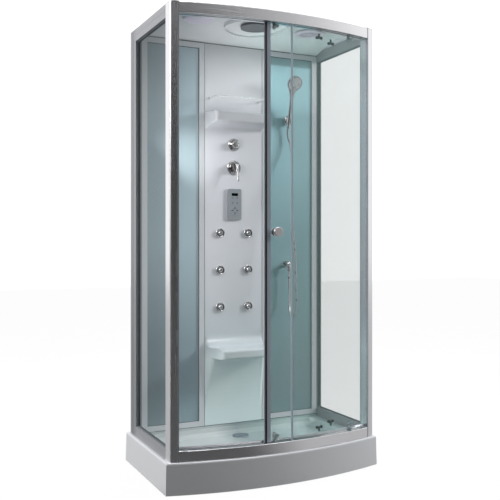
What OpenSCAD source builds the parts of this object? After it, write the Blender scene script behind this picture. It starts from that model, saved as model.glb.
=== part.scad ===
// Shower cabin with a bowed front, one sliding door and a moulded column with seat and shelf.
// Front faces -Y, up is +Z, and the origin is the centre of the tray's footprint on the floor.

/* [Tray] */
// Overall width of the tray
tray_w = 1100; // [1000:10:1300]
// Overall depth of the tray, at the middle of its bowed front
tray_d = 700; // [660:10:800]
// Height of the tray's rim above the floor
tray_h = 140; // [120:5:180]
// Depth of the basin below the rim
basin_depth = 36; // [25:1:50]
// Wall of the tray's moulded shell
tray_wall = 6; // [4:1:8]
// Outward lean of the tray's apron at the floor
apron_lean = 3; // [1:1:6]

/* [Frame] */
// Height of the frame's top above the floor
cabin_h = 2150; // [2000:10:2250]
// Radius of the front rails' outer face, seen from above
front_r = 1903; // [1800:10:2400]
// Ledge of the tray outside the frame, at each side
side_ledge = 20; // [12:1:30]
// Ledge of the tray in front of the bowed rail
front_ledge = 12; // [8:1:20]
// Ledge of the tray behind the frame
back_ledge = 23; // [10:1:40]
// Width of a front post's front face
post_w = 39; // [34:1:46]
// Depth of a front post's side face
post_d = 54; // [46:1:64]
// Width of a back post
back_post_w = 30; // [26:1:36]
// Depth of a back post's side face, which spans the plumbing space
back_post_d = 97; // [85:1:120]
// Corner radius of the posts
post_r = 9; // [5:1:12]
// Wall of the aluminium sections
section_wall = 2.5; // [2:0.5:3]
// Height of the curved rails
rail_h = 50; // [44:1:60]
// Depth of the curved rails
rail_d = 36; // [36:1:44]
// Height of the side rails at the top
side_rail_h = 60; // [50:1:70]
// Height of the side rails at the bottom
side_foot_h = 49; // [42:1:60]
// Thickness of the side rails
side_rail_t = 28; // [24:1:30]

/* [Glass and door] */
// Thickness of all the glass
glass_t = 6; // [4:0.5:6]
// Distance of the side glass from the frame's outer face
side_glass_inset = 12; // [10:1:14]
// Front edge of the fixed panel, from the cabin's middle
fixed_edge_x = 42; // [20:1:80]
// Overlap of the closed door behind the fixed panel
door_overlap = 28; // [20:1:40]
// Travel of the door along its arc
door_travel = 402; // [300:1:405]
// Gap left between the closed door's seal and the post
closed_gap = 2; // [1:0.5:4]
// Width of the magnetic seal on the door's leading edge
seal_w = 12; // [8:1:16]
// Height of the knob above the floor
knob_z = 1146; // [900:1:1300]
// Distance of the knob from the door's leading edge
knob_inset = 60; // [50:1:80]
// Diameter of the outer knob
knob_d = 45; // [36:1:50]

/* [Rollers] */
// Diameter of the door's wheels
wheel_d = 18; // [14:1:20]
// Width of the wheels
wheel_w = 6; // [5:0.5:7]
// Distance of each carriage from the door's end
carriage_inset = 62; // [50:1:90]
// Height of the lower glass bolts above the rail
bolt_drop = 26; // [22:1:30]

/* [Back wall] */
// Height of the back wall's lower edge
wall_z0 = 152; // [145:1:200]
// Face width of the frames round the back panels
strip_w = 29; // [22:1:34]
// Depth of those frames
strip_d = 20; // [16:1:26]
// Half width of the moulded column
column_half = 165; // [150:1:180]
// Wall of the moulded column
column_wall = 5; // [4:1:6]

/* [Seat and shelf] */
// Height of the seat
seat_z = 560; // [450:5:600]
// Reach of the seat in front of the wall
seat_reach = 165; // [140:1:180]
// Height of the seat's front
seat_lip = 48; // [40:1:60]
// Radius of the hollow between seat and backrest
seat_fillet = 62; // [40:1:80]
// Radius of the hollow under the seat
under_r = 680; // [600:10:800]
// Height of the shelf's upper face
shelf_z = 1763; // [1700:1:1800]
// Reach of the shelf in front of the wall
shelf_reach = 110; // [90:1:130]
// Height of the shelf's front
shelf_lip = 50; // [40:1:60]
// Height of the wire rail above the shelf
shelf_rail_rise = 75; // [50:1:90]
// Diameter of the wire
wire_d = 6; // [5:0.5:8]

/* [Controls] */
// Height of the diverter
diverter_z = 1606; // [1590:1:1620]
// Diameter of the diverter's plate
diverter_d = 66; // [56:1:70]
// Height of the mixer
mixer_z = 1486; // [1480:1:1500]
// Diameter of the mixer's plate
mixer_d = 78; // [70:1:84]
// Length of the mixer's lever below its centre
lever_l = 76; // [66:1:84]
// Height of the control panel's middle
panel_z = 1295; // [1285:1:1305]
// Width of the control panel
panel_w = 75; // [70:1:84]
// Height of the control panel
panel_h = 162; // [156:1:170]
// Thickness of the control panel
panel_t = 12; // [10:1:16]
// Travel of the buttons
button_travel = 0.8; // [0.5:0.1:1]

/* [Jets] */
// Height of the lowest row of jets
jet_z = 762; // [740:1:770]
// Height from one row of jets to the next
jet_step = 192; // [170:1:194]
// Distance of the jets from the column's middle
jet_x = 80; // [70:1:100]
// Diameter of a jet's collar
jet_d = 49; // [40:1:54]
// Diameter of a jet's ball
ball_d = 28; // [24:1:30]

/* [Hand shower] */
// Distance of the hand shower from the cabin's middle
hand_x = 312; // [300:1:330]
// Height of the holder's cup
holder_z = 1752; // [1740:1:1770]
// Forward lean of the hand shower, in degrees
hand_lean = 14; // [10:1:18]
// Distance of the holder's cup from the wall
cup_reach = 34; // [32:1:40]
// Diameter of the hand shower's head
head_d = 85; // [76:1:92]
// Diameter of the hose
hose_d = 12; // [10:1:14]

/* [Roof] */
// Radius of the vaulted ceiling
vault_r = 900; // [850:10:1200]
// Rise of the ceiling's middle above the frame's top
vault_rise = 14; // [8:1:24]
// Thickness of the roof panel
roof_t = 4; // [3:0.5:6]
// Distance of the ceiling fittings behind the tray's middle
fitting_y = -30; // [-60:5:0]
// Diameter of the rain head
rain_d = 150; // [140:5:200]
// Diameter of the ring round the rain head
rain_ring_d = 310; // [290:5:320]
// Diameter of the lamp and of the fan's grille
disc_d = 147; // [130:1:160]
// Distance of the lamp and the fan from the middle
disc_x = 300; // [285:5:320]

/* [Waste] */
// Diameter of the drain's cover
drain_d = 84; // [78:1:100]
// Distance of the drain behind the tray's middle
drain_y = 148; // [120:1:160]
// Outside diameter of the waste pipe
waste_d = 40; // [32:1:50]

/* [Hidden] */

// Clearance of fixed pieces that slot into each other
fit = 0.3;
// Running clearance round turning pieces
run = 0.05;
fine = 96;

// Plan of the frame
half_w = tray_w / 2 - side_ledge;
arc_y = front_ledge + front_r - tray_d / 2;
corner_y = arc_y - sqrt(pow(front_r, 2) - pow(half_w, 2));
back_y = tray_d / 2 - back_ledge;
wall_y = back_y - back_post_d;
post_back_y = corner_y + post_d;
inner_half = half_w - max(back_post_w, side_rail_t);
top_rail_z = cabin_h - rail_h;
low_rail_z = tray_h + rail_h;

// Curved panes, as radii from the centre of the bow
pane_inset = 6;
pane_gap = 12;
fixed_out = front_r - pane_inset;
fixed_in = fixed_out - glass_t;
door_out = fixed_in - pane_gap;
door_in = door_out - glass_t;
door_mid = (door_out + door_in) / 2;
rail_in = front_r - rail_d;
slot_depth = 14;
pane_grip = 12;
door_grip = 9;
door_play = 2;

// Angles of the door about the centre of the bow, from the cabin's middle
seal_tip = closed_gap - (half_w - post_w);
door_turn = door_travel / door_mid * 180 / PI;
tip_a = asin(seal_tip / door_mid) + door_turn;
trail_a = asin((fixed_edge_x + door_overlap) / door_mid) + door_turn;
trim_w = 17;
glass_a = tip_a + arc_angle(seal_w + trim_w / 2);
fixed_a = asin(fixed_edge_x / fixed_in);
knob_a = tip_a + arc_angle(knob_inset);
lead_a = tip_a + arc_angle(carriage_inset);
last_a = trail_a - arc_angle(carriage_inset);

// Track and wheels
track_w = 14;
track_t = 3;
track_lip = 5;
lip_t = 2;
wheel_r = rail_in - track_w / 2;
wheel_lift = track_t + fit + wheel_d / 2;
axle_d = 5;
plate_t = 3;
plate_gap = 2;
top_bolt_drop = 13;
bolt_d = 9;
cap_d = 17;
clip_inset = [267, 197];
clip_drop = [36, 54];
clip_pitch = 24;
clip_d = 15;
clip_t = 5;
clip_w = 8;
clip_stem = 20;
// Clearance of flat pieces that stand against the curved glass
glass_seat = 0.1;

// Back wall
panel_recess = 7;
panel_y = wall_y + panel_recess;
strip_half = half_w - back_post_w;
column_side = column_half - fit;
vault_z = cabin_h + vault_rise;
ceiling_back_y = wall_y + 8;
wall_z1 = ceiling_z(ceiling_back_y) - fit;

// Seat and shelf
seat_front_half = column_half - 35;
shelf_front_half = column_half - 25;
form_r = 22;
lip_r = 10;
under_z = 200;
under_reach = 90;
shelf_slope = 26;
shelf_rail_half = 140;
shelf_rail_reach = 96;
shelf_rail_bend = 12;

// Water
valve_d = 44;
valve_l = 46;
plate_d = 5;
pipe_d = 16;
pipe_y = wall_y + 55;
jet_barrel_d = 34;
jet_barrel_l = 34;
stub_d = 20;
stub_over = 4;
// How far what passes through a pane stands out behind it
back_out = 4;
feed_x = 120;
feed_z = 380;
inlet_y = pipe_y + 14;
thread_d = 21;
thread_l = 14;
union_d = 28;
union_t = 8;
manifold_rise = 60;

// Control panel, as places on its face from its middle
display_w = 36;
display_h = 15;
display_up = 51;
button_d = 10;
button_x = 13;
button_ups = [33, 7];
pad_d = 48;
pad_up = -33;
key_depth = 4;

// Hand shower
cup_y = panel_y - cup_reach;
cup_h = 26;
cup_d = 31;
cone_low = -42;
cone_high = 16;
cone_low_d = 16;
cone_high_d = 21;
shoulder_h = 10;
handle_d = 18;
handle_l = 150;
neck_in = 6;
head_up = 198;
head_back = 14;
head_tilt = 68;
head_face_t = 10;
head_rim_t = 8;
head_bevel = 6;
head_dome_h = 9;
flange_t = 7;
holder_flange_d = 44;
boss_d = 50;
boss_t = 17;
boss_in = 5;
arm_d = 22;
screw_d = 7;
elbow_flange_d = 36;
elbow_d = 24;
elbow_z = 981;
elbow_y = panel_y - 34;
elbow_drop = 37;
leg_d = 17;
nut_d = 21;
nut_h = 18;

// Roof fittings
fan_d = 118;
fan_h = 34;
shaft_d = 6;
connector_h = 30;

// Route of the hose from the wall elbow down, round and up to the hand shower
hose_route = [[312, 203, 944], [312, 203, 920], [312, 203, 890], [312, 203, 850], [312, 201, 800],
    [311, 195, 760], [309, 181, 726], [306, 160, 706], [303, 135, 706], [301, 114, 726], [300, 102, 760],
    [299, 98, 800], [299, 99, 860], [299, 103, 940], [298, 110, 1040], [293, 120, 1150],
    [294, 134, 1260], [303, 152, 1370], [315, 175, 1480], [326, 199, 1570], [325, 212, 1625],
    [316, 218, 1658], [312, 218, 1685], [312, 213, 1711]];

function arc_angle(length) = length / door_mid * 180 / PI;
function ceiling_z(y) = vault_z - vault_r + sqrt(pow(vault_r, 2) - pow(y - fitting_y, 2));

// Places its children on the bow: local X runs along it and local Y points inwards
module on_bow(angle, radius, z) {
    translate([0, arc_y, z]) rotate([0, 0, angle]) translate([0, -radius, 0]) children();
}

// A round pin that stands across the bow, from one radius to another
module bow_pin(angle, z, r0, r1, d) {
    on_bow(angle, r0, z) rotate([90, 0, 0]) cylinder(d = d, h = r1 - r0, $fn = fine);
}

// Sweeps a profile along the bow, with radius as X and height as Y
module bow_sweep(a0, a1) {
    translate([0, arc_y, 0]) rotate([0, 0, a0 - 90]) rotate_extrude(angle = a1 - a0, $fn = 360) children();
}

// Extrudes a profile of depth and height along X, centred on the cabin's middle
module along_x(width) {
    rotate([90, 0, 90]) linear_extrude(height = width, center = true) children();
}

// Extrudes a profile of X and height backwards from a front face
module along_y(front, depth) {
    translate([0, front + depth, 0]) rotate([90, 0, 0]) linear_extrude(height = depth) children();
}

// A cylinder along Y, from its front face backwards
module y_pin(x, front, z, d, length) {
    translate([x, front + length, z]) rotate([90, 0, 0]) cylinder(d = d, h = length, $fn = fine);
}

module both_sides() {
    children();
    mirror([1, 0, 0]) children();
}

module rounded_rect(w, h, r) {
    square([w - 2 * r, h], center = true);
    square([w, h - 2 * r], center = true);
    for (x = [r - w / 2, w / 2 - r], y = [r - h / 2, h / 2 - r]) translate([x, y]) circle(r, $fn = fine);
}

// A run of pipe through a list of points, with a round bend at each
module pipe_run(points, d) {
    for (i = [1:len(points) - 1]) {
        v = points[i] - points[i - 1];
        translate(points[i - 1]) rotate([0, acos(v[2] / norm(v)), atan2(v[1], v[0])])
            cylinder(d = d, h = norm(v), $fn = fine);
    }
    if (len(points) > 2)
        for (i = [1:len(points) - 2]) translate(points[i]) sphere(d = d, $fn = fine);
}

// Tray

module tray_plan(inset, front) {
    intersection() {
        translate([0, arc_y]) circle(front - inset, $fn = 360);
        translate([0, -front_r]) offset(12, $fn = 24)
            square([tray_w - 2 * inset - 24, 2 * front_r + tray_d - 2 * inset - 24], center = true);
    }
}

basin_corner = 60;
basin_side = 60;
basin_front = 24;
basin_back = 8;

module basin_plan(inset) {
    corner = basin_corner - inset;
    half = half_w - basin_side - inset - corner;
    back = wall_y - basin_back - inset - corner;
    intersection() {
        translate([0, arc_y]) circle(rail_in - basin_front - inset, $fn = 360);
        offset(corner, $fn = 48) translate([-half, back - 2 * tray_d]) square([2 * half, 2 * tray_d]);
    }
}

module slab(z) {
    translate([0, 0, z]) linear_extrude(0.1) children();
}

// The basin's hollow, grown all round by a wall
module basin_form(grow) {
    hull() {
        slab(tray_h + 1) basin_plan(-grow);
        slab(tray_h - basin_depth / 2 - grow) basin_plan(7 - grow);
        slab(tray_h - basin_depth * 0.85 - grow) basin_plan(18 - grow);
        slab(tray_h - basin_depth - grow) basin_plan(32 - grow);
    }
}

module tray() color("white") {
    outer_r = front_r + front_ledge;
    difference() {
        union() {
            hull() {
                slab(0) tray_plan(0, outer_r);
                slab(tray_h - 7) tray_plan(apron_lean, outer_r);
                slab(tray_h - 2.5) tray_plan(apron_lean + 1.5, outer_r);
                slab(tray_h - 0.1) tray_plan(apron_lean + 6, outer_r);
            }
            translate([-strip_half, wall_y, tray_h - 1])
                cube([2 * strip_half, strip_d, wall_z0 - tray_h + 1]);
        }
        basin_form(0);
        difference() {
            hull() {
                slab(-1) tray_plan(tray_wall, outer_r);
                slab(tray_h - tray_wall) tray_plan(tray_wall + apron_lean, outer_r);
            }
            basin_form(tray_wall);
        }
        translate([0, drain_y, 0]) cylinder(d = drain_d - 14, h = tray_h, $fn = fine);
        translate([-waste_d, back_y, -1]) cube([2 * waste_d, tray_d, waste_z + waste_d]);
    }
}

floor_z = tray_h - basin_depth;
frame_tube = 25;
frame_x = tray_w / 2 - 70;
frame_y0 = corner_y + 25;
frame_y1 = back_y - 30;
cross_x = 170;
frame_z = floor_z - tray_wall - frame_tube;
waste_z = waste_d / 2 + 8;
foot_places = [for (x = [-frame_x + frame_tube / 2, frame_x - frame_tube / 2],
    y = [frame_y0 + frame_tube / 2, frame_y1 - frame_tube / 2]) [x, y]];
mid_places = [for (x = [-cross_x, cross_x]) [x, (frame_y0 + frame_y1) / 2]];

module tray_frame() color("dimgray") translate([0, 0, frame_z]) linear_extrude(frame_tube) {
    difference() {
        translate([-frame_x, frame_y0]) square([2 * frame_x, frame_y1 - frame_y0]);
        translate([-frame_x + frame_tube, frame_y0 + frame_tube])
            square([2 * (frame_x - frame_tube), frame_y1 - frame_y0 - 2 * frame_tube]);
    }
    for (x = [-cross_x, cross_x])
        translate([x - frame_tube / 2, frame_y0]) square([frame_tube, frame_y1 - frame_y0]);
}

module adjustable_feet() color("dimgray") {
    for (place = concat(foot_places, mid_places)) translate([place[0], place[1], 0]) {
        cylinder(d = 44, h = 8, $fn = fine);
        cylinder(d = 12, h = frame_z, $fn = fine);
        translate([0, 0, frame_z - 8]) cylinder(d = 22, h = 8, $fn = 6);
    }
}

// Waste

sleeve_d = drain_d - 16;
trap_d = drain_d + 10;
waste_end = 80;
socket_d = waste_d + 8;

module drain_body() color("gainsboro") {
    difference() {
        union() {
            translate([0, drain_y, floor_z]) cylinder(d = drain_d - 4, h = 1.5, $fn = fine);
            translate([0, drain_y, waste_z]) cylinder(d = sleeve_d, h = floor_z - waste_z + 1, $fn = fine);
            translate([0, drain_y, 6]) cylinder(d = trap_d, h = floor_z - tray_wall - 8, $fn = fine);
            translate([0, drain_y, waste_z]) rotate([-90, 0, 0]) {
                cylinder(d = waste_d, h = tray_d / 2 - drain_y, $fn = fine);
                cylinder(d = socket_d, h = tray_d / 2 - waste_end - drain_y, $fn = fine);
            }
        }
        translate([0, drain_y, 12]) cylinder(d = sleeve_d - 6, h = tray_h, $fn = fine);
        translate([0, drain_y, waste_z]) rotate([-90, 0, 0])
            cylinder(d = waste_d - 6, h = tray_d, $fn = fine);
    }
}

module drain_cover() color("silver") translate([0, drain_y, floor_z + 1.5 + fit]) {
    difference() {
        union() {
            cylinder(d1 = drain_d, d2 = drain_d - 6, h = 3, $fn = fine);
            translate([0, 0, -10]) cylinder(d = sleeve_d - 7, h = 10.5, $fn = fine);
        }
        translate([0, 0, -11]) cylinder(d = sleeve_d - 12, h = 11, $fn = fine);
    }
}

// Frame

module post_box(grow) {
    both_sides() translate([-half_w - 50, corner_y - 100, -1])
        cube([post_w + 50 + grow, post_d + 100, cabin_h + 50]);
}

module front_post() {
    cy = arc_y - sqrt(pow(front_r - post_r, 2) - pow(half_w - post_r, 2));
    translate([0, 0, tray_h]) linear_extrude(cabin_h - tray_h) difference() {
        intersection() {
            translate([0, arc_y]) circle(front_r, $fn = 720);
            union() {
                translate([post_r - half_w, corner_y - 50]) square([post_w - post_r, post_d + 50]);
                translate([-half_w, cy]) square([post_w, post_back_y - cy]);
                translate([post_r - half_w, cy]) circle(post_r, $fn = fine);
            }
        }
        translate([2 * section_wall - half_w, cy])
            square([post_w - 4 * section_wall, post_back_y - cy - slot_depth - section_wall]);
        glass_slot(post_back_y - slot_depth, slot_depth + 1);
    }
}

module glass_slot(y, depth) {
    translate([side_glass_inset - half_w - fit, y]) square([glass_t + 2 * fit, depth]);
}

module back_post() {
    translate([0, 0, tray_h]) linear_extrude(cabin_h - tray_h) difference() {
        union() {
            translate([-half_w, wall_y]) square([back_post_w, back_post_d - post_r]);
            translate([post_r - half_w, wall_y]) square([back_post_w - post_r, back_post_d]);
            translate([post_r - half_w, back_y - post_r]) circle(post_r, $fn = fine);
        }
        translate([2 * section_wall - half_w, wall_y + slot_depth + section_wall])
            square([back_post_w - 4 * section_wall, back_post_d - slot_depth - 4 * section_wall]);
        for (share = [0.42, 0.58]) translate([-half_w - 1, wall_y + back_post_d * share]) square([2.2, 3]);
        glass_slot(wall_y - 1, slot_depth + 1);
    }
}

module post_front_left() color("silver") front_post();
module post_front_right() color("silver") mirror([1, 0, 0]) front_post();
module post_back_left() color("silver") back_post();
module post_back_right() color("silver") mirror([1, 0, 0]) back_post();

module post_caps() color("gray") both_sides() {
    cap_t = 2;
    translate([0, 0, cabin_h]) linear_extrude(cap_t) {
        intersection() {
            translate([0, arc_y]) circle(front_r - 1, $fn = 720);
            translate([1 - half_w, corner_y - 50]) square([post_w - 2, post_d + 49]);
        }
        translate([1 - half_w, wall_y + 1]) square([back_post_w - 2, back_post_d - 2]);
    }
}

// Section of a curved rail. Its slots hold the fixed pane and guide the door
module rail_section(open_up) {
    slot_z = open_up ? rail_h - slot_depth : -1;
    bevel = 2.5;
    difference() {
        union() {
            translate([rail_in, 0]) square([rail_d - bevel, rail_h]);
            translate([rail_in, bevel]) square([rail_d, rail_h - 2 * bevel]);
            for (z = [bevel, rail_h - bevel]) translate([front_r - bevel, z]) circle(bevel, $fn = 48);
            translate([rail_in - track_w, open_up ? rail_h - track_t : 0]) {
                square([track_w + 1, track_t]);
                square([lip_t, track_t + track_lip]);
            }
        }
        translate([fixed_in - fit, slot_z]) square([glass_t + 2 * fit, slot_depth + 1]);
        translate([door_in - door_play, slot_z]) square([glass_t + 2 * door_play, slot_depth + 1]);
    }
}

bow_half_a = asin(half_w / front_r);

module front_rail(z, open_up) {
    difference() {
        translate([0, 0, z]) bow_sweep(-bow_half_a, bow_half_a) rail_section(open_up);
        post_box(0);
    }
}

module front_rail_top() color("silver") front_rail(top_rail_z, false);
module front_rail_bottom() color("silver") front_rail(tray_h, true);

module side_rail(z, h, slot_at) {
    translate([0, (post_back_y + wall_y) / 2, 0]) rotate([90, 0, 0])
        linear_extrude(height = wall_y - post_back_y, center = true) difference() {
            translate([-half_w, z]) square([side_rail_t, h]);
            glass_slot(slot_at, slot_depth);
            translate([-half_w - 1, z + h * 0.5]) square([1.8, 2.5]);
        }
}

module side_rails() color("silver") both_sides() {
    side_rail(cabin_h - side_rail_h, side_rail_h, cabin_h - side_rail_h - 0.01);
    side_rail(tray_h, side_foot_h, tray_h + side_foot_h - slot_depth + 0.01);
}

module back_rails() color("silver") {
    rail_y = 25;
    for (z = [tray_h, cabin_h - 40])
        translate([-strip_half, back_y - rail_y, z]) cube([2 * strip_half, rail_y, z == tray_h ? 25 : 40]);
}

// Side glass and its gaskets

pane_y0 = post_back_y - pane_grip;
pane_y1 = wall_y + pane_grip;
pane_z0 = tray_h + side_foot_h - pane_grip;
pane_z1 = cabin_h - side_rail_h + pane_grip;

module side_glass() color("lightblue", 0.3) both_sides()
    translate([side_glass_inset - half_w, pane_y0, pane_z0])
        cube([glass_t, pane_y1 - pane_y0, pane_z1 - pane_z0]);

module glazing_gaskets() color("black") both_sides() {
    bead = 5;
    bead_t = 2.4;
    z0 = tray_h + side_foot_h;
    z1 = cabin_h - side_rail_h;
    for (x = [side_glass_inset - half_w - bead_t - 0.1, side_glass_inset - half_w + glass_t + 0.1])
        translate([x, 0, 0]) rotate([90, 0, 90]) linear_extrude(bead_t) difference() {
            translate([post_back_y, z0]) square([wall_y - post_back_y, z1 - z0]);
            translate([post_back_y + bead, z0 + bead])
                square([wall_y - post_back_y - 2 * bead, z1 - z0 - 2 * bead]);
        }
}

// Front panes

module fixed_panel() color("lightblue", 0.3) difference() {
    bow_sweep(fixed_a, bow_half_a) translate([fixed_in, low_rail_z - pane_grip])
        square([glass_t, top_rail_z - low_rail_z + 2 * pane_grip]);
    post_box(fit);
}

module fixed_panel_trim() color("lightgray") {
    trim = 7;
    bow_sweep(fixed_a - trim / fixed_in * 180 / PI, fixed_a)
        translate([fixed_in - 1.5, low_rail_z]) square([glass_t + 3, top_rail_z - low_rail_z]);
}

door_z0 = low_rail_z - door_grip;
door_z1 = top_rail_z + door_grip;
rail_bolt_zs = [low_rail_z + bolt_drop, top_rail_z - top_bolt_drop];

module door_glass() color("lightblue", 0.3) difference() {
    bow_sweep(glass_a, trail_a) translate([door_in, door_z0]) square([glass_t, door_z1 - door_z0]);
    for (a = [lead_a, last_a], z = rail_bolt_zs) bow_pin(a, z, door_in - 5, door_out + 5, bolt_d + 2 * fit);
    bow_pin(knob_a, knob_z, door_in - 5, door_out + 5, knob_bolt_d + 2 * fit);
}

trim_a = arc_angle(seal_w);

module door_edge_trim() color("lightsteelblue") difference() {
    bow_sweep(tip_a + trim_a, tip_a + trim_a + arc_angle(trim_w))
        translate([door_in - 2, low_rail_z + 2]) square([glass_t + 4, top_rail_z - low_rail_z - 4]);
    bow_sweep(glass_a - 0.005, trail_a)
        translate([door_in - 0.1, low_rail_z]) square([glass_t + 0.2, top_rail_z - low_rail_z]);
}

module door_seal() color("black") bow_sweep(tip_a, tip_a + trim_a)
    translate([door_in - 1.5, low_rail_z + 2]) square([glass_t + 3, top_rail_z - low_rail_z - 4]);

knob_bolt_d = 8;
knob_neck = 9;
knob_t = 15;

module door_knob() color("silver") {
    bow_pin(knob_a, knob_z, door_in - knob_neck, door_out + knob_neck, knob_bolt_d);
    bow_pin(knob_a, knob_z, door_out, door_out + knob_neck + 1, knob_d * 0.45);
    bow_pin(knob_a, knob_z, door_in - knob_neck - 1, door_in - glass_seat, knob_d * 0.45);
    on_bow(knob_a, door_out + knob_neck, knob_z) rotate([90, 0, 0])
        rotate_extrude($fn = fine) knob_side(knob_d);
    on_bow(knob_a, door_in - knob_neck, knob_z) rotate([-90, 0, 0])
        rotate_extrude($fn = fine) knob_side(knob_d - 7);
}

module knob_side(d) {
    edge = 3;
    square([d / 2 - edge, knob_t]);
    square([d / 2, knob_t - edge]);
    translate([d / 2 - edge, knob_t - edge]) circle(edge, $fn = 48);
}

// A carriage: a cap outside the glass, a bolt through it, a plate behind the track and an axle
module carriage(a, bolt_z, wheel_z) {
    plate_in = rail_in - track_w - plate_gap - plate_t;
    low = min(bolt_z, wheel_z);
    bow_pin(a, bolt_z, plate_in, door_out + 4, bolt_d);
    bow_pin(a, bolt_z, plate_in, door_in - glass_seat, cap_d - 5);
    bow_pin(a, bolt_z, door_out, door_out + 4, cap_d);
    bow_pin(a, wheel_z, plate_in, wheel_r + wheel_w / 2 + 1.5, axle_d);
    on_bow(a, plate_in, low) translate([-8, -plate_t, 0]) cube([16, plate_t, abs(bolt_z - wheel_z)]);
    bow_pin(a, bolt_z, plate_in, plate_in + plate_t, 18);
    bow_pin(a, wheel_z, plate_in, plate_in + plate_t, 16);
}

// A guide clip: two caps on the glass joined by a bridge, and a stem towards the rail
module guide_clip(a, z, up) {
    face = door_in - glass_seat;
    for (side = [-1, 1])
        bow_pin(a + side * arc_angle(clip_pitch / 2), z, face - clip_t, face, clip_d);
    on_bow(a, face, z) translate([-clip_pitch / 2, 0, -clip_w / 2]) cube([clip_pitch, clip_t, clip_w]);
    on_bow(a, face, z + (up ? 0 : -clip_stem)) translate([-clip_w / 2, 0, 0])
        cube([clip_w, clip_t, clip_stem]);
}

wheel_low_z = low_rail_z - track_t + wheel_lift;
wheel_top_z = top_rail_z + wheel_lift;

module roller_carriages() color("black") {
    for (a = [lead_a, last_a]) {
        carriage(a, rail_bolt_zs[0], wheel_low_z);
        carriage(a, rail_bolt_zs[1], wheel_top_z);
    }
    for (i = [0, 1]) {
        guide_clip(trail_a - arc_angle(clip_inset[i]), low_rail_z + clip_drop[i], false);
        guide_clip(trail_a - arc_angle(clip_inset[i]), top_rail_z - clip_drop[i], true);
    }
}

module wheel(a, z) color("black") on_bow(a, wheel_r, z) rotate([90, 0, 0]) rotate_extrude($fn = fine)
    translate([axle_d / 2 + run, -wheel_w / 2]) difference() {
        square([wheel_d / 2 - axle_d / 2 - run, wheel_w]);
        translate([wheel_d / 2 - axle_d / 2 - run + 1, wheel_w / 2]) circle(1.8, $fn = 32);
    }

module wheel_top_lead() wheel(lead_a, wheel_top_z);
module wheel_top_trail() wheel(last_a, wheel_top_z);
module wheel_bottom_lead() wheel(lead_a, wheel_low_z);
module wheel_bottom_trail() wheel(last_a, wheel_low_z);

// Back wall

module panel_frame() color("silver") along_y(wall_y, strip_d) difference() {
    translate([column_half, wall_z0]) square([strip_half - column_half, wall_z1 - wall_z0]);
    translate([column_half + strip_w, wall_z0 + strip_w])
        square([strip_half - column_half - 2 * strip_w, wall_z1 - wall_z0 - 2 * strip_w]);
}

panel_grip = 8;

module panel_rebate(grow) {
    along_y(panel_y - grow, glass_t + 2 * grow)
        translate([column_half + strip_w - panel_grip - grow, wall_z0 + strip_w - panel_grip - grow])
            square([strip_half - column_half - 2 * (strip_w - panel_grip - grow),
                wall_z1 - wall_z0 - 2 * (strip_w - panel_grip - grow)]);
}

module panel_frame_right() color("silver") difference() {
    panel_frame();
    panel_rebate(fit);
}

module panel_frame_left() color("silver") mirror([1, 0, 0]) panel_frame_right();

module back_panel_right() color("cadetblue") difference() {
    panel_rebate(0);
    y_pin(hand_x, panel_y - 1, elbow_z, stub_d + 2, glass_t + 2);
    y_pin(hand_x, panel_y - 1, holder_z, 8, glass_t + 2);
}

module back_panel_left() color("lightslategray") mirror([1, 0, 0]) panel_rebate(0);

// Column. Each form is the outside of a moulded bump, and the same form shrunk by the wall is its hollow

module lip_bar(reach, low, high, back, r) {
    translate([-back, low]) square([reach + back - r, high - low]);
    translate([-back, low + r]) square([reach + back, high - low - 2 * r]);
    for (z = [low + r, high - r]) translate([reach - r, z]) circle(r, $fn = 64);
}

module seat_side(wall) {
    back = wall > 0 ? column_wall + 1 : 0;
    low = seat_z - seat_lip;
    lip_bar(seat_reach - wall, low + wall, seat_z - wall, back, lip_r - wall / 2);
    difference() {
        translate([-back, seat_z - wall - 1]) square([seat_fillet + back, seat_fillet + wall + 1]);
        translate([seat_fillet, seat_z + seat_fillet]) circle(seat_fillet + wall, $fn = 180);
    }
    difference() {
        translate([-back, under_z]) square([under_reach + back, low + wall + 1 - under_z]);
        translate([under_r, under_z]) circle(under_r + wall, $fn = 360);
    }
}

module shelf_side(wall) {
    back = wall > 0 ? column_wall + 1 : 0;
    low = shelf_z - shelf_lip;
    lip_bar(shelf_reach - wall, low + wall, shelf_z - wall, back, lip_r - wall / 2);
    front = shelf_reach - lip_r - 2 * wall;
    polygon([[-back, low - shelf_slope + wall], [0, low - shelf_slope + wall], [front, low + wall],
        [front, shelf_z - wall - 1], [-back, shelf_z - wall - 1]]);
}

// Plan of a bump, which narrows towards its rounded front
module form_plan(reach, front_half, wall) {
    hull() {
        translate([wall - column_side, -1]) square([2 * (column_side - wall), column_wall + 3]);
        for (side = [-1, 1])
            translate([side * (front_half - form_r), form_r - reach]) circle(form_r - wall, $fn = 32);
    }
}

module form(reach, front_half, wall) {
    intersection() {
        translate([0, wall_y, 0]) mirror([0, 1, 0]) along_x(2 * column_half) children();
        translate([0, wall_y, 0]) linear_extrude(cabin_h) form_plan(reach, front_half, wall);
    }
}

module column_forms(wall) {
    form(seat_reach, seat_front_half, wall) seat_side(wall);
    form(shelf_reach, shelf_front_half, wall) shelf_side(wall);
}

jet_places = [for (row = [0:2], side = [-1, 1]) [side * jet_x, jet_z + row * jet_step]];
return_d = strip_d - 1;

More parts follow.
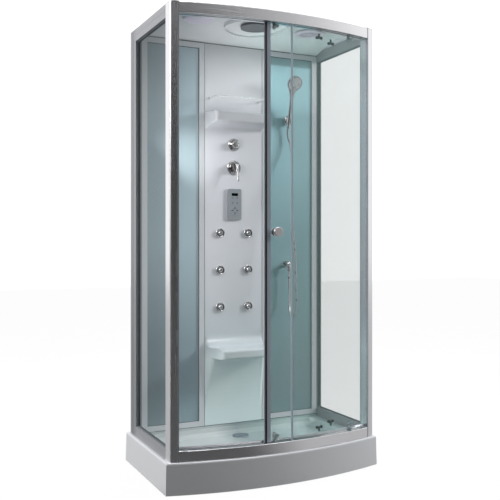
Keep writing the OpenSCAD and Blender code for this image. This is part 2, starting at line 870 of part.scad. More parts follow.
module column() color("white") difference() {
    union() {
        translate([-column_side, wall_y, wall_z0]) cube([2 * column_side, return_d, wall_z1 - wall_z0]);
        column_forms(0);
    }
    translate([column_wall - column_side, wall_y + column_wall, wall_z0 + column_wall])
        cube([2 * (column_side - column_wall), return_d, wall_z1 - wall_z0 - 2 * column_wall]);
    column_forms(column_wall);
    for (place = jet_places) y_pin(place[0], wall_y - 1, place[1], jet_barrel_d + 2 * fit, 2 * column_wall);
    for (z = [mixer_z, diverter_z]) y_pin(0, wall_y - 1, z, valve_d + 2 * fit, 2 * column_wall);
    y_pin(0, wall_y - 1, panel_z, stub_d, 2 * column_wall);
}

module shelf_rail() color("silver") {
    z = shelf_z + shelf_rail_rise;
    front = wall_y - shelf_rail_reach;
    bend = shelf_rail_bend;
    both_sides() {
        y_pin(shelf_rail_half, front + bend, z, wire_d, shelf_rail_reach - bend);
        y_pin(shelf_rail_half, wall_y - 3, z, wire_d * 2.4, 3);
        translate([shelf_rail_half - bend, front + bend, z]) rotate([0, 0, -90])
            rotate_extrude(angle = 90, $fn = fine) translate([bend, 0]) circle(d = wire_d, $fn = 48);
        translate([0, front, z]) rotate([0, 90, 0])
            cylinder(d = wire_d, h = shelf_rail_half - bend, $fn = fine);
    }
}

// Valves

module valve(z, d) {
    y_pin(0, wall_y - plate_d, z, d - 4, plate_d);
    y_pin(0, wall_y - plate_d + 1.5, z, d, plate_d - 1.5);
    y_pin(0, wall_y, z, valve_d, valve_l);
}

module valve_bodies() color("silver") {
    valve(mixer_z, mixer_d);
    valve(diverter_z, diverter_d);
}

cap_front = wall_y - plate_d - fit - 24;
cap_face_d = 44;
knuckle_y = cap_front - 7;
knuckle_z = mixer_z + 13;
knuckle_d = 9;
knuckle_w = 12;
pin_d = 4;

module mixer_cap() color("silver") {
    y_pin(0, cap_front, mixer_z, cap_face_d - 6, 24);
    y_pin(0, cap_front + 4, mixer_z, cap_face_d, 20);
    for (side = [-1, 1]) translate([side * (knuckle_w / 2 + fit) - (side < 0 ? 4 : 0), 0, 0]) {
        translate([0, knuckle_y, knuckle_z - knuckle_d / 2]) cube([4, cap_front - knuckle_y + 1, knuckle_d]);
        translate([0, knuckle_y, knuckle_z]) rotate([0, 90, 0]) cylinder(d = knuckle_d, h = 4, $fn = fine);
    }
    translate([0, knuckle_y, knuckle_z]) rotate([0, 90, 0])
        cylinder(d = pin_d, h = knuckle_w + 2 * fit + 6, center = true, $fn = fine);
}

module mixer_lever() color("silver") difference() {
    union() {
        translate([0, knuckle_y, knuckle_z]) rotate([0, 90, 0])
            cylinder(d = knuckle_d, h = knuckle_w, center = true, $fn = fine);
        hull() {
            translate([-knuckle_w / 2, knuckle_y - knuckle_d / 2, knuckle_z - 1]) cube([knuckle_w, 5, 1]);
            translate([0, knuckle_y - 6, mixer_z - 8]) sphere(d = 11, $fn = 24);
        }
        hull() {
            translate([0, knuckle_y - 6, mixer_z - 8]) sphere(d = 11, $fn = 24);
            translate([0, knuckle_y - 20, mixer_z - lever_l + 6]) sphere(d = 12, $fn = 24);
        }
    }
    translate([0, knuckle_y, knuckle_z]) rotate([0, 90, 0])
        cylinder(d = pin_d + 2 * run, h = 2 * knuckle_w, center = true, $fn = fine);
}

module diverter_knob() color("silver") {
    knob_h = 24;
    front = wall_y - plate_d - fit - knob_h;
    grip_d = diverter_d * 0.62;
    difference() {
        union() {
            y_pin(0, front, diverter_z, grip_d - 6, knob_h);
            y_pin(0, front + 3, diverter_z, grip_d, knob_h - 3);
        }
        for (a = [0:45:315]) translate([0, front - 1, diverter_z]) rotate([0, a, 0])
            translate([0, 0, grip_d / 2 + 4]) rotate([-90, 0, 0])
                cylinder(d = 12, h = knob_h - 4, $fn = fine);
        y_pin(0, front - 1, diverter_z, grip_d * 0.45, 2.5);
    }
}

// Control panel

panel_front = wall_y - panel_t;
button_places = [for (up = button_ups, side = [-1, 1]) [side * button_x, panel_z + up]];

module control_panel() color("gray") difference() {
    along_y(panel_front, panel_t) translate([0, panel_z]) rounded_rect(panel_w, panel_h, 9);
    along_y(panel_front - 1, 2.5) translate([0, panel_z + display_up])
        square([display_w, display_h], center = true);
    for (place = button_places) y_pin(place[0], panel_front - 1, place[1], button_d + 2 * fit, key_depth + 1);
    y_pin(0, panel_front - 1, panel_z + pad_up, pad_d + 2 * fit, key_depth + 1);
}

module display_window() color("black") along_y(panel_front - 0.5, 2) translate([0, panel_z + display_up])
    square([display_w - 2 * fit, display_h - 2 * fit], center = true);

key_t = key_depth - button_travel;

module button(i) color("dimgray")
    y_pin(button_places[i][0], panel_front - 1.2, button_places[i][1], button_d, key_t);

module button_1() button(0);
module button_2() button(1);
module button_3() button(2);
module button_4() button(3);

module menu_pad() color("lightgray") difference() {
    y_pin(0, panel_front - 1.6, panel_z + pad_up, pad_d, key_t);
    along_y(panel_front - 2, 1.2) translate([0, panel_z + pad_up]) for (a = [0:90:270]) rotate(a)
        translate([pad_d * 0.2, -1.6]) square([pad_d * 0.22, 3.2]);
}

// Jets

ball_y = wall_y - 6;
collar_t = 9;
collar_edge = 3;
tail_d = 12;
waterway_r = 3;

// A round piece that stands on the wall: X of its profile is the radius and Y the depth behind the wall
module wall_turned(x, z) {
    translate([x, wall_y, z]) rotate([-90, 0, 0]) rotate_extrude($fn = fine) intersection() {
        translate([0, -half_w]) square([half_w, 2 * half_w]);
        children();
    }
}

ball_in = ball_y - wall_y;

module jet_body_side() {
    tail_l = pipe_y - pipe_d / 2 - stub_over - wall_y;
    difference() {
        union() {
            translate([0, -collar_t]) square([jet_d / 2 - collar_edge, collar_t]);
            translate([0, collar_edge - collar_t]) square([jet_d / 2, collar_t - collar_edge]);
            translate([jet_d / 2 - collar_edge, collar_edge - collar_t]) circle(collar_edge, $fn = 48);
            square([jet_barrel_d / 2, jet_barrel_l]);
            square([tail_d / 2, tail_l]);
        }
        translate([0, ball_in]) circle(d = ball_d + 2 * fit, $fn = fine);
        translate([0, ball_in]) square([waterway_r, tail_l + collar_t]);
    }
}

module jet_bodies() color("silver") for (place = jet_places)
    wall_turned(place[0], place[1]) jet_body_side();

module jet_nozzle(i) color("gainsboro") {
    front = -ball_d * 0.42;
    difference() {
        wall_turned(jet_places[i][0], jet_places[i][1]) intersection() {
            translate([0, ball_in]) circle(d = ball_d, $fn = fine);
            translate([0, ball_in + front]) square([ball_d, ball_d * 0.78]);
        }
        for (a = [0:60:300]) translate([jet_places[i][0], 0, jet_places[i][1]]) rotate([0, a, 0])
            y_pin(0, ball_y + front - 1, ball_d * 0.18, 2.4, ball_d * 0.3);
    }
}

module jet_nozzle_1() jet_nozzle(0);
module jet_nozzle_2() jet_nozzle(1);
module jet_nozzle_3() jet_nozzle(2);
module jet_nozzle_4() jet_nozzle(3);
module jet_nozzle_5() jet_nozzle(4);
module jet_nozzle_6() jet_nozzle(5);

// Pipes behind the wall

module stub(x, z) {
    y_pin(x, pipe_y - pipe_d / 2 - stub_over, z, pipe_d + 2, pipe_d / 2 + stub_over);
}

over_z = vault_z + roof_t + connector_h - 6;

module supply_pipes() color("darkgoldenrod") {
    manifold_z = jet_z + 2 * jet_step + manifold_rise;
    for (side = [-1, 1]) pipe_run([[side * jet_x, pipe_y, jet_z], [side * jet_x, pipe_y, manifold_z],
        [0, pipe_y, manifold_z]], pipe_d);
    for (place = jet_places) stub(place[0], place[1]);
    pipe_run([[0, pipe_y, manifold_z], [0, pipe_y, over_z], [0, fitting_y, over_z]], pipe_d);
    for (z = [mixer_z, diverter_z]) y_pin(0, wall_y + valve_l, z, valve_d - 10, pipe_y - wall_y - valve_l);
    pipe_run([[0, pipe_y, diverter_z], [hand_x, pipe_y, diverter_z], [hand_x, pipe_y, elbow_z]], pipe_d);
    y_pin(hand_x, panel_y + glass_t + back_out, elbow_z, pipe_d + 2, pipe_y - panel_y - glass_t - back_out);
    for (x = [-feed_x, feed_x]) {
        pipe_run([[0, pipe_y, mixer_z], [x, pipe_y, mixer_z], [x, pipe_y, feed_z], [x, inlet_y, feed_z]],
            pipe_d);
        translate([x, inlet_y, feed_z]) rotate([-90, 0, 0]) {
            translate([0, 0, -union_t]) cylinder(d = union_d, h = union_t, $fn = 6);
            cylinder(d = thread_d, h = thread_l, $fn = fine);
        }
    }
}

// Hand shower

module hand_frame() {
    translate([hand_x, cup_y, holder_z]) rotate([hand_lean, 0, 0]) children();
}

module cone(grow, low, high) {
    slope = (cone_high_d - cone_low_d) / (cone_high - cone_low);
    translate([0, 0, low]) cylinder(d1 = cone_low_d + slope * (low - cone_low) + 2 * grow,
        d2 = cone_low_d + slope * (high - cone_low) + 2 * grow, h = high - low, $fn = fine);
}

module hand_shower() color("silver") hand_frame() {
    shoulder = cone_high + shoulder_h;
    cone(0, cone_low, cone_high);
    translate([0, 0, cone_high]) cylinder(d1 = cone_high_d, d2 = handle_d, h = shoulder_h, $fn = fine);
    translate([0, 0, shoulder]) cylinder(d = handle_d, h = handle_l - shoulder, $fn = fine);
    hull() {
        translate([0, 0, handle_l - neck_in]) cylinder(d = handle_d, h = 1, $fn = 32);
        head_place() cylinder(d = head_d * 0.8, h = neck_in, $fn = 32);
    }
    head_place() {
        translate([0, 0, -head_face_t]) cylinder(d = head_d - head_bevel, h = head_face_t, $fn = fine);
        translate([0, 0, -head_rim_t]) cylinder(d = head_d, h = head_rim_t, $fn = fine);
        cylinder(d1 = head_d, d2 = head_d * 0.72, h = head_dome_h, $fn = fine);
    }
}

// The head's back face, with Z pointing out of its back
module head_place() {
    translate([0, -head_back, head_up]) rotate([-head_tilt, 0, 0]) children();
}

module hand_shower_fittings() color("silver") {
    difference() {
        union() {
            hand_frame() translate([0, 0, -cup_h / 2]) cylinder(d = cup_d, h = cup_h, $fn = fine);
            y_pin(hand_x, panel_y - flange_t, holder_z, holder_flange_d, flange_t);
            y_pin(hand_x, cup_y + boss_in, holder_z, boss_d, boss_t);
            y_pin(hand_x, cup_y + boss_in, holder_z, arm_d, panel_y - cup_y - boss_in - 2);
            y_pin(hand_x, panel_y - 1, holder_z, screw_d, glass_t + back_out + 1);
        }
        hand_frame() cone(fit, cone_low - fit, cup_h);
        hand_frame() translate([-hose_d * 0.6, -cup_d, -cup_h]) cube([hose_d * 1.2, cup_d, 2 * cup_h]);
    }
    y_pin(hand_x, panel_y - flange_t, elbow_z, elbow_flange_d, flange_t);
    y_pin(hand_x, elbow_y, elbow_z, elbow_d, panel_y - elbow_y);
    y_pin(hand_x, panel_y - 1, elbow_z, stub_d, glass_t + back_out + 1);
    translate([hand_x, elbow_y, elbow_z]) sphere(d = elbow_d, $fn = fine);
    translate([hand_x, elbow_y, elbow_z - elbow_drop]) {
        cylinder(d = leg_d, h = elbow_drop, $fn = fine);
        cylinder(d1 = leg_d, d2 = nut_d, h = nut_h, $fn = fine);
    }
}

// The hose is one tube of eight sides, swept along a smooth curve through its route

hose_sides = 8;
hose_steps = 3;

function spline(p, i, t) = let (
    a = p[max(i - 1, 0)], b = p[i], c = p[i + 1], d = p[min(i + 2, len(p) - 1)]
) 0.5 * (2 * b + (c - a) * t + (2 * a - 5 * b + 4 * c - d) * t * t + (3 * b - a - 3 * c + d) * t * t * t);

hose_line = [for (i = [0:len(hose_route) - 2], s = [0:hose_steps - 1]) spline(hose_route, i, s / hose_steps),
    hose_route[len(hose_route) - 1]];

function unit(v) = v / norm(v);
function along(p, i) = unit(p[min(i + 1, len(p) - 1)] - p[max(i - 1, 0)]);

module hose() color("silver") {
    n = len(hose_line);
    side = [1, 0, 0];
    rings = [for (i = [0:n - 1]) let (
        d = along(hose_line, i), u = unit(side - d * (side * d)), v = cross(d, u)
    ) for (k = [0:hose_sides - 1]) hose_line[i]
        + hose_d / 2 * (u * cos(360 * k / hose_sides) + v * sin(360 * k / hose_sides))];
    polyhedron(points = rings, faces = concat(
        [[for (k = [0:hose_sides - 1]) k]],
        [[for (k = [hose_sides - 1:-1:0]) (n - 1) * hose_sides + k]],
        [for (i = [0:n - 2], k = [0:hose_sides - 1]) let (m = (k + 1) % hose_sides)
            [i * hose_sides + k, (i + 1) * hose_sides + k, (i + 1) * hose_sides + m, i * hose_sides + m]]));
}

// Ceiling and its fittings

disc_drop = 10;
ring_wall = 6;
fan_bore = fan_d + 2;

module vault(radius) {
    translate([0, fitting_y, vault_z - vault_r]) rotate([0, 90, 0])
        cylinder(r = radius, h = tray_w, center = true, $fn = 720);
}

module ceiling() color("whitesmoke") difference() {
    union() {
        intersection() {
            difference() {
                vault(vault_r + roof_t);
                vault(vault_r);
            }
            translate([0, 0, top_rail_z]) linear_extrude(cabin_h) intersection() {
                translate([0, arc_y]) circle(rail_in, $fn = 720);
                translate([-inner_half, corner_y - front_r])
                    square([2 * inner_half, front_r + ceiling_back_y - corner_y]);
            }
        }
        intersection() {
            translate([0, fitting_y, vault_z - disc_drop - 8]) difference() {
                cylinder(d = rain_ring_d, h = 60, $fn = fine);
                translate([0, 0, -1]) cylinder(d = rain_ring_d - 2 * ring_wall, h = 62, $fn = fine);
            }
            vault(vault_r + 1);
        }
    }
    post_box(fit);
    translate([0, fitting_y, 0]) {
        cylinder(d = stub_d + 2, h = 2 * cabin_h, $fn = fine);
        for (side = [-1, 1]) translate([side * disc_x, 0, 0])
            cylinder(d = fan_bore, h = 2 * cabin_h, $fn = fine);
    }
}

module rain_head() color("dimgray") translate([0, fitting_y, vault_z - disc_drop - 4]) {
    difference() {
        cylinder(d = rain_d, h = 9, $fn = fine);
        for (r = [18:16:rain_d / 2 - 10], a = [0:30:330]) rotate(a + r) translate([r, 0, -1])
            cylinder(d = 3, h = 2, $fn = 24);
    }
    cylinder(d = stub_d, h = over_z - pipe_d / 2 - vault_z + disc_drop + 4, $fn = fine);
    translate([0, 0, disc_drop + 4 + roof_t]) cylinder(d = stub_d + 12, h = 6, $fn = 6);
}

// A disc whose stepped neck fills its hole in the ceiling
module ceiling_disc(side) {
    translate([side * disc_x, fitting_y, vault_z - disc_drop]) children();
}

module ceiling_lamp() color("lavender") ceiling_disc(-1) {
    translate([0, 0, 1]) cylinder(d = disc_d, h = 5, $fn = fine);
    cylinder(d = disc_d - 16, h = 2, $fn = fine);
    cylinder(d = fan_d, h = disc_drop + roof_t + 14, $fn = fine);
}

module extractor_fan() color("gainsboro") ceiling_disc(1) {
    hub_d = 40;
    difference() {
        union() {
            cylinder(d = disc_d, h = 5, $fn = fine);
            cylinder(d = fan_d, h = disc_drop + roof_t + fan_h, $fn = fine);
        }
        translate([0, 0, 5]) cylinder(d = fan_d - 6, h = disc_drop + roof_t + fan_h - 8, $fn = fine);
        for (r = [16:9:fan_d / 2 - 8]) translate([0, 0, -1]) difference() {
            cylinder(r = r + 2.5, h = 7, $fn = fine);
            translate([0, 0, -1]) cylinder(r = r - 2.5, h = 9, $fn = fine);
            for (a = [0:60:120]) rotate(a) translate([-disc_d / 2, -2, -1]) cube([disc_d, 4, 9]);
        }
        translate([0, 0, disc_drop + roof_t + fan_h - 4]) difference() {
            cylinder(r = fan_d / 2 - 8, h = 6, $fn = fine);
            translate([0, 0, -1]) cylinder(d = hub_d, h = 8, $fn = fine);
            for (a = [0:60:120]) rotate(a) translate([-fan_d / 2, -4, -1]) cube([fan_d, 8, 8]);
        }
    }
    translate([0, 0, disc_drop + roof_t + fan_h - 16]) cylinder(d = hub_d, h = 13, $fn = fine);
    translate([0, 0, disc_drop + roof_t + 2]) cylinder(d = shaft_d, h = fan_h - 17, $fn = fine);
}

module fan_rotor() color("gray") ceiling_disc(1) translate([0, 0, disc_drop + 4]) difference() {
    union() {
        cylinder(d = 34, h = 12, $fn = fine);
        for (a = [0:60:300]) rotate(a) translate([0, -10, 6]) rotate([35, 0, 0])
            translate([12, -10, -1]) cube([fan_d / 2 - 20, 20, 2]);
    }
    translate([0, 0, -1]) cylinder(d = shaft_d + 2 * run, h = 20, $fn = fine);
}

tray();
tray_frame();
adjustable_feet();
drain_body();
drain_cover();
post_front_left();
post_front_right();
post_back_left();
post_back_right();
post_caps();
front_rail_top();
front_rail_bottom();
side_rails();
back_rails();
side_glass();
glazing_gaskets();
fixed_panel();
fixed_panel_trim();
door_glass();
door_seal();
door_edge_trim();
door_knob();
roller_carriages();
wheel_top_lead();
wheel_top_trail();
wheel_bottom_lead();
wheel_bottom_trail();
back_panel_left();
back_panel_right();
panel_frame_left();
panel_frame_right();
column();
shelf_rail();
valve_bodies();
mixer_cap();
mixer_lever();
diverter_knob();
control_panel();
display_window();
button_1();
button_2();
button_3();
button_4();
menu_pad();
jet_bodies();
jet_nozzle_1();
jet_nozzle_2();
jet_nozzle_3();
jet_nozzle_4();
jet_nozzle_5();
jet_nozzle_6();
supply_pipes();
hand_shower();
hand_shower_fittings();
hose();
ceiling();
rain_head();
ceiling_lamp();
extractor_fan();
fan_rotor();
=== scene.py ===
"""Looks of the shower cabin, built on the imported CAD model. Metres, front towards -Y, up +Z."""
import math

import bpy
import numpy as np
from mathutils import Matrix, Vector


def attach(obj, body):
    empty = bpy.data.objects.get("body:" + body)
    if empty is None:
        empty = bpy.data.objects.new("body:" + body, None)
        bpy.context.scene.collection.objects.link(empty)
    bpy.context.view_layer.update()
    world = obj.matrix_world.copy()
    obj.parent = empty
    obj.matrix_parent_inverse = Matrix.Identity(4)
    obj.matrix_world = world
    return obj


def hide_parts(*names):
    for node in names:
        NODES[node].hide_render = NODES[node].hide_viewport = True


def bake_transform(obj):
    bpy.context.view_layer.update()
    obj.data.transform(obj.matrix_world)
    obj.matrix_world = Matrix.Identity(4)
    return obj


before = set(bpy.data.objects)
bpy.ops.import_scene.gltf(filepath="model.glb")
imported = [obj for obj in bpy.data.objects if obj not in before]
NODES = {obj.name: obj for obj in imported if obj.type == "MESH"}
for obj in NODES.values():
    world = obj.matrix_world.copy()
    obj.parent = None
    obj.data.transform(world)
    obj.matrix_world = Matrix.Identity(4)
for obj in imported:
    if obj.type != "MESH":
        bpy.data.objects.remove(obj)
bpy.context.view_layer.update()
scene = bpy.context.scene
scene.view_settings.view_transform = "Standard"


# Camera

EYE = (-1.640, -3.383, 1.1105)
EYE_HEADING = -25.63
SENSOR_WIDTH = 36
FOCAL_LENGTH = 54.6
HORIZON_SHIFT = -0.0205
VIEW_DEPTH = 60


def make_camera():
    """The photograph's place and framing. Its horizon lies a little above the middle."""
    data = bpy.data.cameras.new("camera")
    data.sensor_width = SENSOR_WIDTH
    data.lens = FOCAL_LENGTH
    data.shift_y = HORIZON_SHIFT
    data.clip_end = VIEW_DEPTH
    camera = bpy.data.objects.new("camera", data)
    camera.location = EYE
    camera.rotation_euler = (math.radians(90), 0, math.radians(EYE_HEADING))
    scene.collection.objects.link(camera)
    scene.camera = camera


make_camera()


# Node materials

NOISE_LOW, NOISE_HIGH = 0.3, 0.7    # The middle part of a noise's range
NOISE_DETAIL = 3.0
COAT_ROUGHNESS = 0.04
RELIEF = 0.0006    # Height of a bump, in metres
GRAIN_SCALE, WAVE_SCALE, CLOUD_SCALE = 300.0, 9.0, 2.0
CLOUD_TINT = (0.97, 0.97, 0.97, 1)
WHITE = (1, 1, 1, 1)
COLOUR_A, COLOUR_B, MIXED_COLOUR = 6, 7, 2    # Sockets of a mix node that mixes colours
MULTIPLIED = {"data_type": "RGBA", "blend_type": "MULTIPLY"}


def add_node(tree, kind, inputs=None, **settings):
    """A new node with its settings. Its inputs take values or the outputs of other nodes."""
    node = tree.nodes.new(kind)
    for key, value in settings.items():
        setattr(node, key, value)
    for key, value in (inputs or {}).items():
        if isinstance(value, bpy.types.NodeSocket):
            tree.links.new(value, node.inputs[key])
        else:
            node.inputs[key].default_value = value
    return node


def linear(code):
    """A colour written as #RRGGBB, in the linear values that the shaders take."""
    parts = [int(code[i:i + 2], 16) / 255 for i in (1, 3, 5)]
    return tuple(c / 12.92 if c <= 0.04045 else ((c + 0.055) / 1.055) ** 2.4 for c in parts) + (1.0,)


class Graph:
    """A material's node tree, with short calls to add and join nodes."""

    def __init__(self, name):
        self.material = bpy.data.materials.new(name)
        self.material.use_nodes = True
        self.tree = self.material.node_tree
        self.shader = self.tree.nodes["Principled BSDF"]
        self.output = self.tree.nodes["Material Output"]

    def add(self, kind, inputs=None, **settings):
        return add_node(self.tree, kind, inputs, **settings)

    def link(self, source, name):
        self.tree.links.new(source, self.shader.inputs[name])

    def noise(self, scale, stretch=(1, 1, 1)):
        place = self.add("ShaderNodeTexCoord").outputs["Object"]
        mapped = self.add("ShaderNodeMapping", {"Vector": place, "Scale": stretch}).outputs["Vector"]
        grain = {"Vector": mapped, "Scale": scale, "Detail": NOISE_DETAIL}
        return self.add("ShaderNodeTexNoise", grain).outputs["Fac"]

    def spread(self, source, low, high):
        """Maps the middle of a noise's range to low..high."""
        return self.add("ShaderNodeMapRange", {"Value": source, "From Min": NOISE_LOW, "From Max": NOISE_HIGH,
                                               "To Min": low, "To Max": high}).outputs["Result"]

    def drift(self, source, low, high):
        """A colour that goes from low to high over the middle of a noise's range."""
        return self.colours(source, [(NOISE_LOW, low), (NOISE_HIGH, high)])

    def colours(self, source, stops):
        """A colour ramp with its (place, colour) stops."""
        ramp = self.add("ShaderNodeValToRGB", {"Fac": source})
        points = ramp.color_ramp.elements
        while len(points) < len(stops):
            points.new(0.5)
        for point, (place, colour) in zip(points, stops):
            point.position = place
            point.color = colour
        return ramp.outputs["Color"]

    def gloss(self, rough, coat):
        self.shader.inputs["Roughness"].default_value = rough
        self.shader.inputs["Coat Weight"].default_value = coat
        self.shader.inputs["Coat Roughness"].default_value = COAT_ROUGHNESS

    def bump(self, height, strength):
        node = self.add("ShaderNodeBump", {"Height": height, "Strength": strength, "Distance": RELIEF})
        self.link(node.outputs["Normal"], "Normal")


def shade(code, factor):
    """A colour made lighter or darker by a factor."""
    return tuple(min(1.0, c * factor) for c in linear(code)[:3]) + (1.0,)


def surface(name, code, rough, metal=0.0, vary=0.05, rough_vary=0.04, scale=9.0, stretch=(1, 1, 1), bump=0.0,
            specular=0.5, alpha=1.0):
    """A material with slight drifts of colour and gloss and a fine relief."""
    g = Graph(name)
    noise = g.noise(scale, stretch)
    g.link(g.drift(noise, shade(code, 1 - vary), shade(code, 1 + vary)), "Base Color")
    g.link(g.spread(noise, rough - rough_vary, rough + rough_vary), "Roughness")
    g.shader.inputs["Metallic"].default_value = metal
    g.shader.inputs["Specular IOR Level"].default_value = specular
    g.shader.inputs["Coat Roughness"].default_value = COAT_ROUGHNESS
    g.shader.inputs["Alpha"].default_value = alpha
    if bump:
        g.bump(g.noise(GRAIN_SCALE, stretch), bump)
    return g.material


def faded(name, axis, stops, rough=0.16, coat=0.4, bump=0.0, across=None):
    """A glossy finish whose tint fades along an axis, and along X by across, as (metres, colour) stops."""
    g = Graph(name)
    places = g.add("ShaderNodeSeparateXYZ", {"Vector": g.add("ShaderNodeTexCoord").outputs["Object"]}).outputs

    def fade(place, marks):
        low, high = marks[0][0], marks[-1][0]
        ends = {"Value": place, "From Min": low, "From Max": high}
        share = g.add("ShaderNodeMapRange", ends).outputs["Result"]
        return g.colours(share, [((at - low) / (high - low), linear(code)) for at, code in marks])

    tints = [fade(places[axis], stops), g.drift(g.noise(CLOUD_SCALE), CLOUD_TINT, WHITE)]
    if across:
        tints.append(fade(places["X"], across))
    colour = tints[0]
    for tint in tints[1:]:
        mixed = g.add("ShaderNodeMix", {"Factor": 1.0, COLOUR_A: colour, COLOUR_B: tint}, **MULTIPLIED)
        colour = mixed.outputs[MIXED_COLOUR]
    g.link(colour, "Base Color")
    g.gloss(rough, coat)
    if bump:
        g.bump(g.noise(WAVE_SCALE), bump)
    return g.material


# The front's bow, as the radius and the place of its centre, and the basin's floor inside it
BOW_R = 1.903
BOW_Y = 1.565
BASIN_R = BOW_R - 0.043
BASIN_HALF = 0.505
BASIN_BACK = 0.25
# Where the painted shade on the basin's floor runs, along X
PAINTED_SHADE_X = (-0.2, 0.4)


def tray_finish(code):
    """Glossy acrylic. The basin's floor carries painted shade with a green tint where it lies under the
    glass, darkest near the middle.
    """
    g = Graph("tray_acrylic")
    place = g.add("ShaderNodeTexCoord").outputs["Object"]
    level = g.add("ShaderNodeVectorMath", {0: place, 1: (1, 1, 0)}, operation="MULTIPLY").outputs["Vector"]
    reach = g.add("ShaderNodeVectorMath", {0: level, 1: (0, BOW_Y, 0)}, operation="DISTANCE").outputs["Value"]
    across, depth, _ = g.add("ShaderNodeSeparateXYZ", {"Vector": place}).outputs
    width = g.add("ShaderNodeMath", {0: across}, operation="ABSOLUTE").outputs[0]
    basin = 1.0
    for measure, limit in ((reach, BASIN_R), (width, BASIN_HALF), (depth, BASIN_BACK)):
        within = g.add("ShaderNodeMath", {0: measure, 1: limit}, operation="LESS_THAN").outputs[0]
        basin = g.add("ShaderNodeMath", {0: basin, 1: within}, operation="MULTIPLY").outputs[0]
    ends = {"Value": across, "From Min": PAINTED_SHADE_X[0], "From Max": PAINTED_SHADE_X[1]}
    share = g.add("ShaderNodeMapRange", ends).outputs["Result"]
    # Painted shade: darker and greener across the middle of the basin's floor
    painted_shade = g.colours(share, [(0.15, linear("#C2CACB")), (0.35, linear("#95A3A5")),
                             (0.6, linear("#9BAEAE")), (0.85, linear("#BACDCD"))])
    plain = g.drift(g.noise(WAVE_SCALE), shade(code, 0.995), shade(code, 1.005))
    mixed = g.add("ShaderNodeMix", {"Factor": basin, COLOUR_A: plain, COLOUR_B: painted_shade}, data_type="RGBA")
    g.link(mixed.outputs[MIXED_COLOUR], "Base Color")
    g.gloss(0.25, 0.25)
    return g.material


UPRIGHT = (60, 60, 1)
ANODISED = {"scale": 2.0, "vary": 0.012, "rough_vary": 0.015}
PANE = {"scale": 3.0, "vary": 0.01, "rough_vary": 0.005}

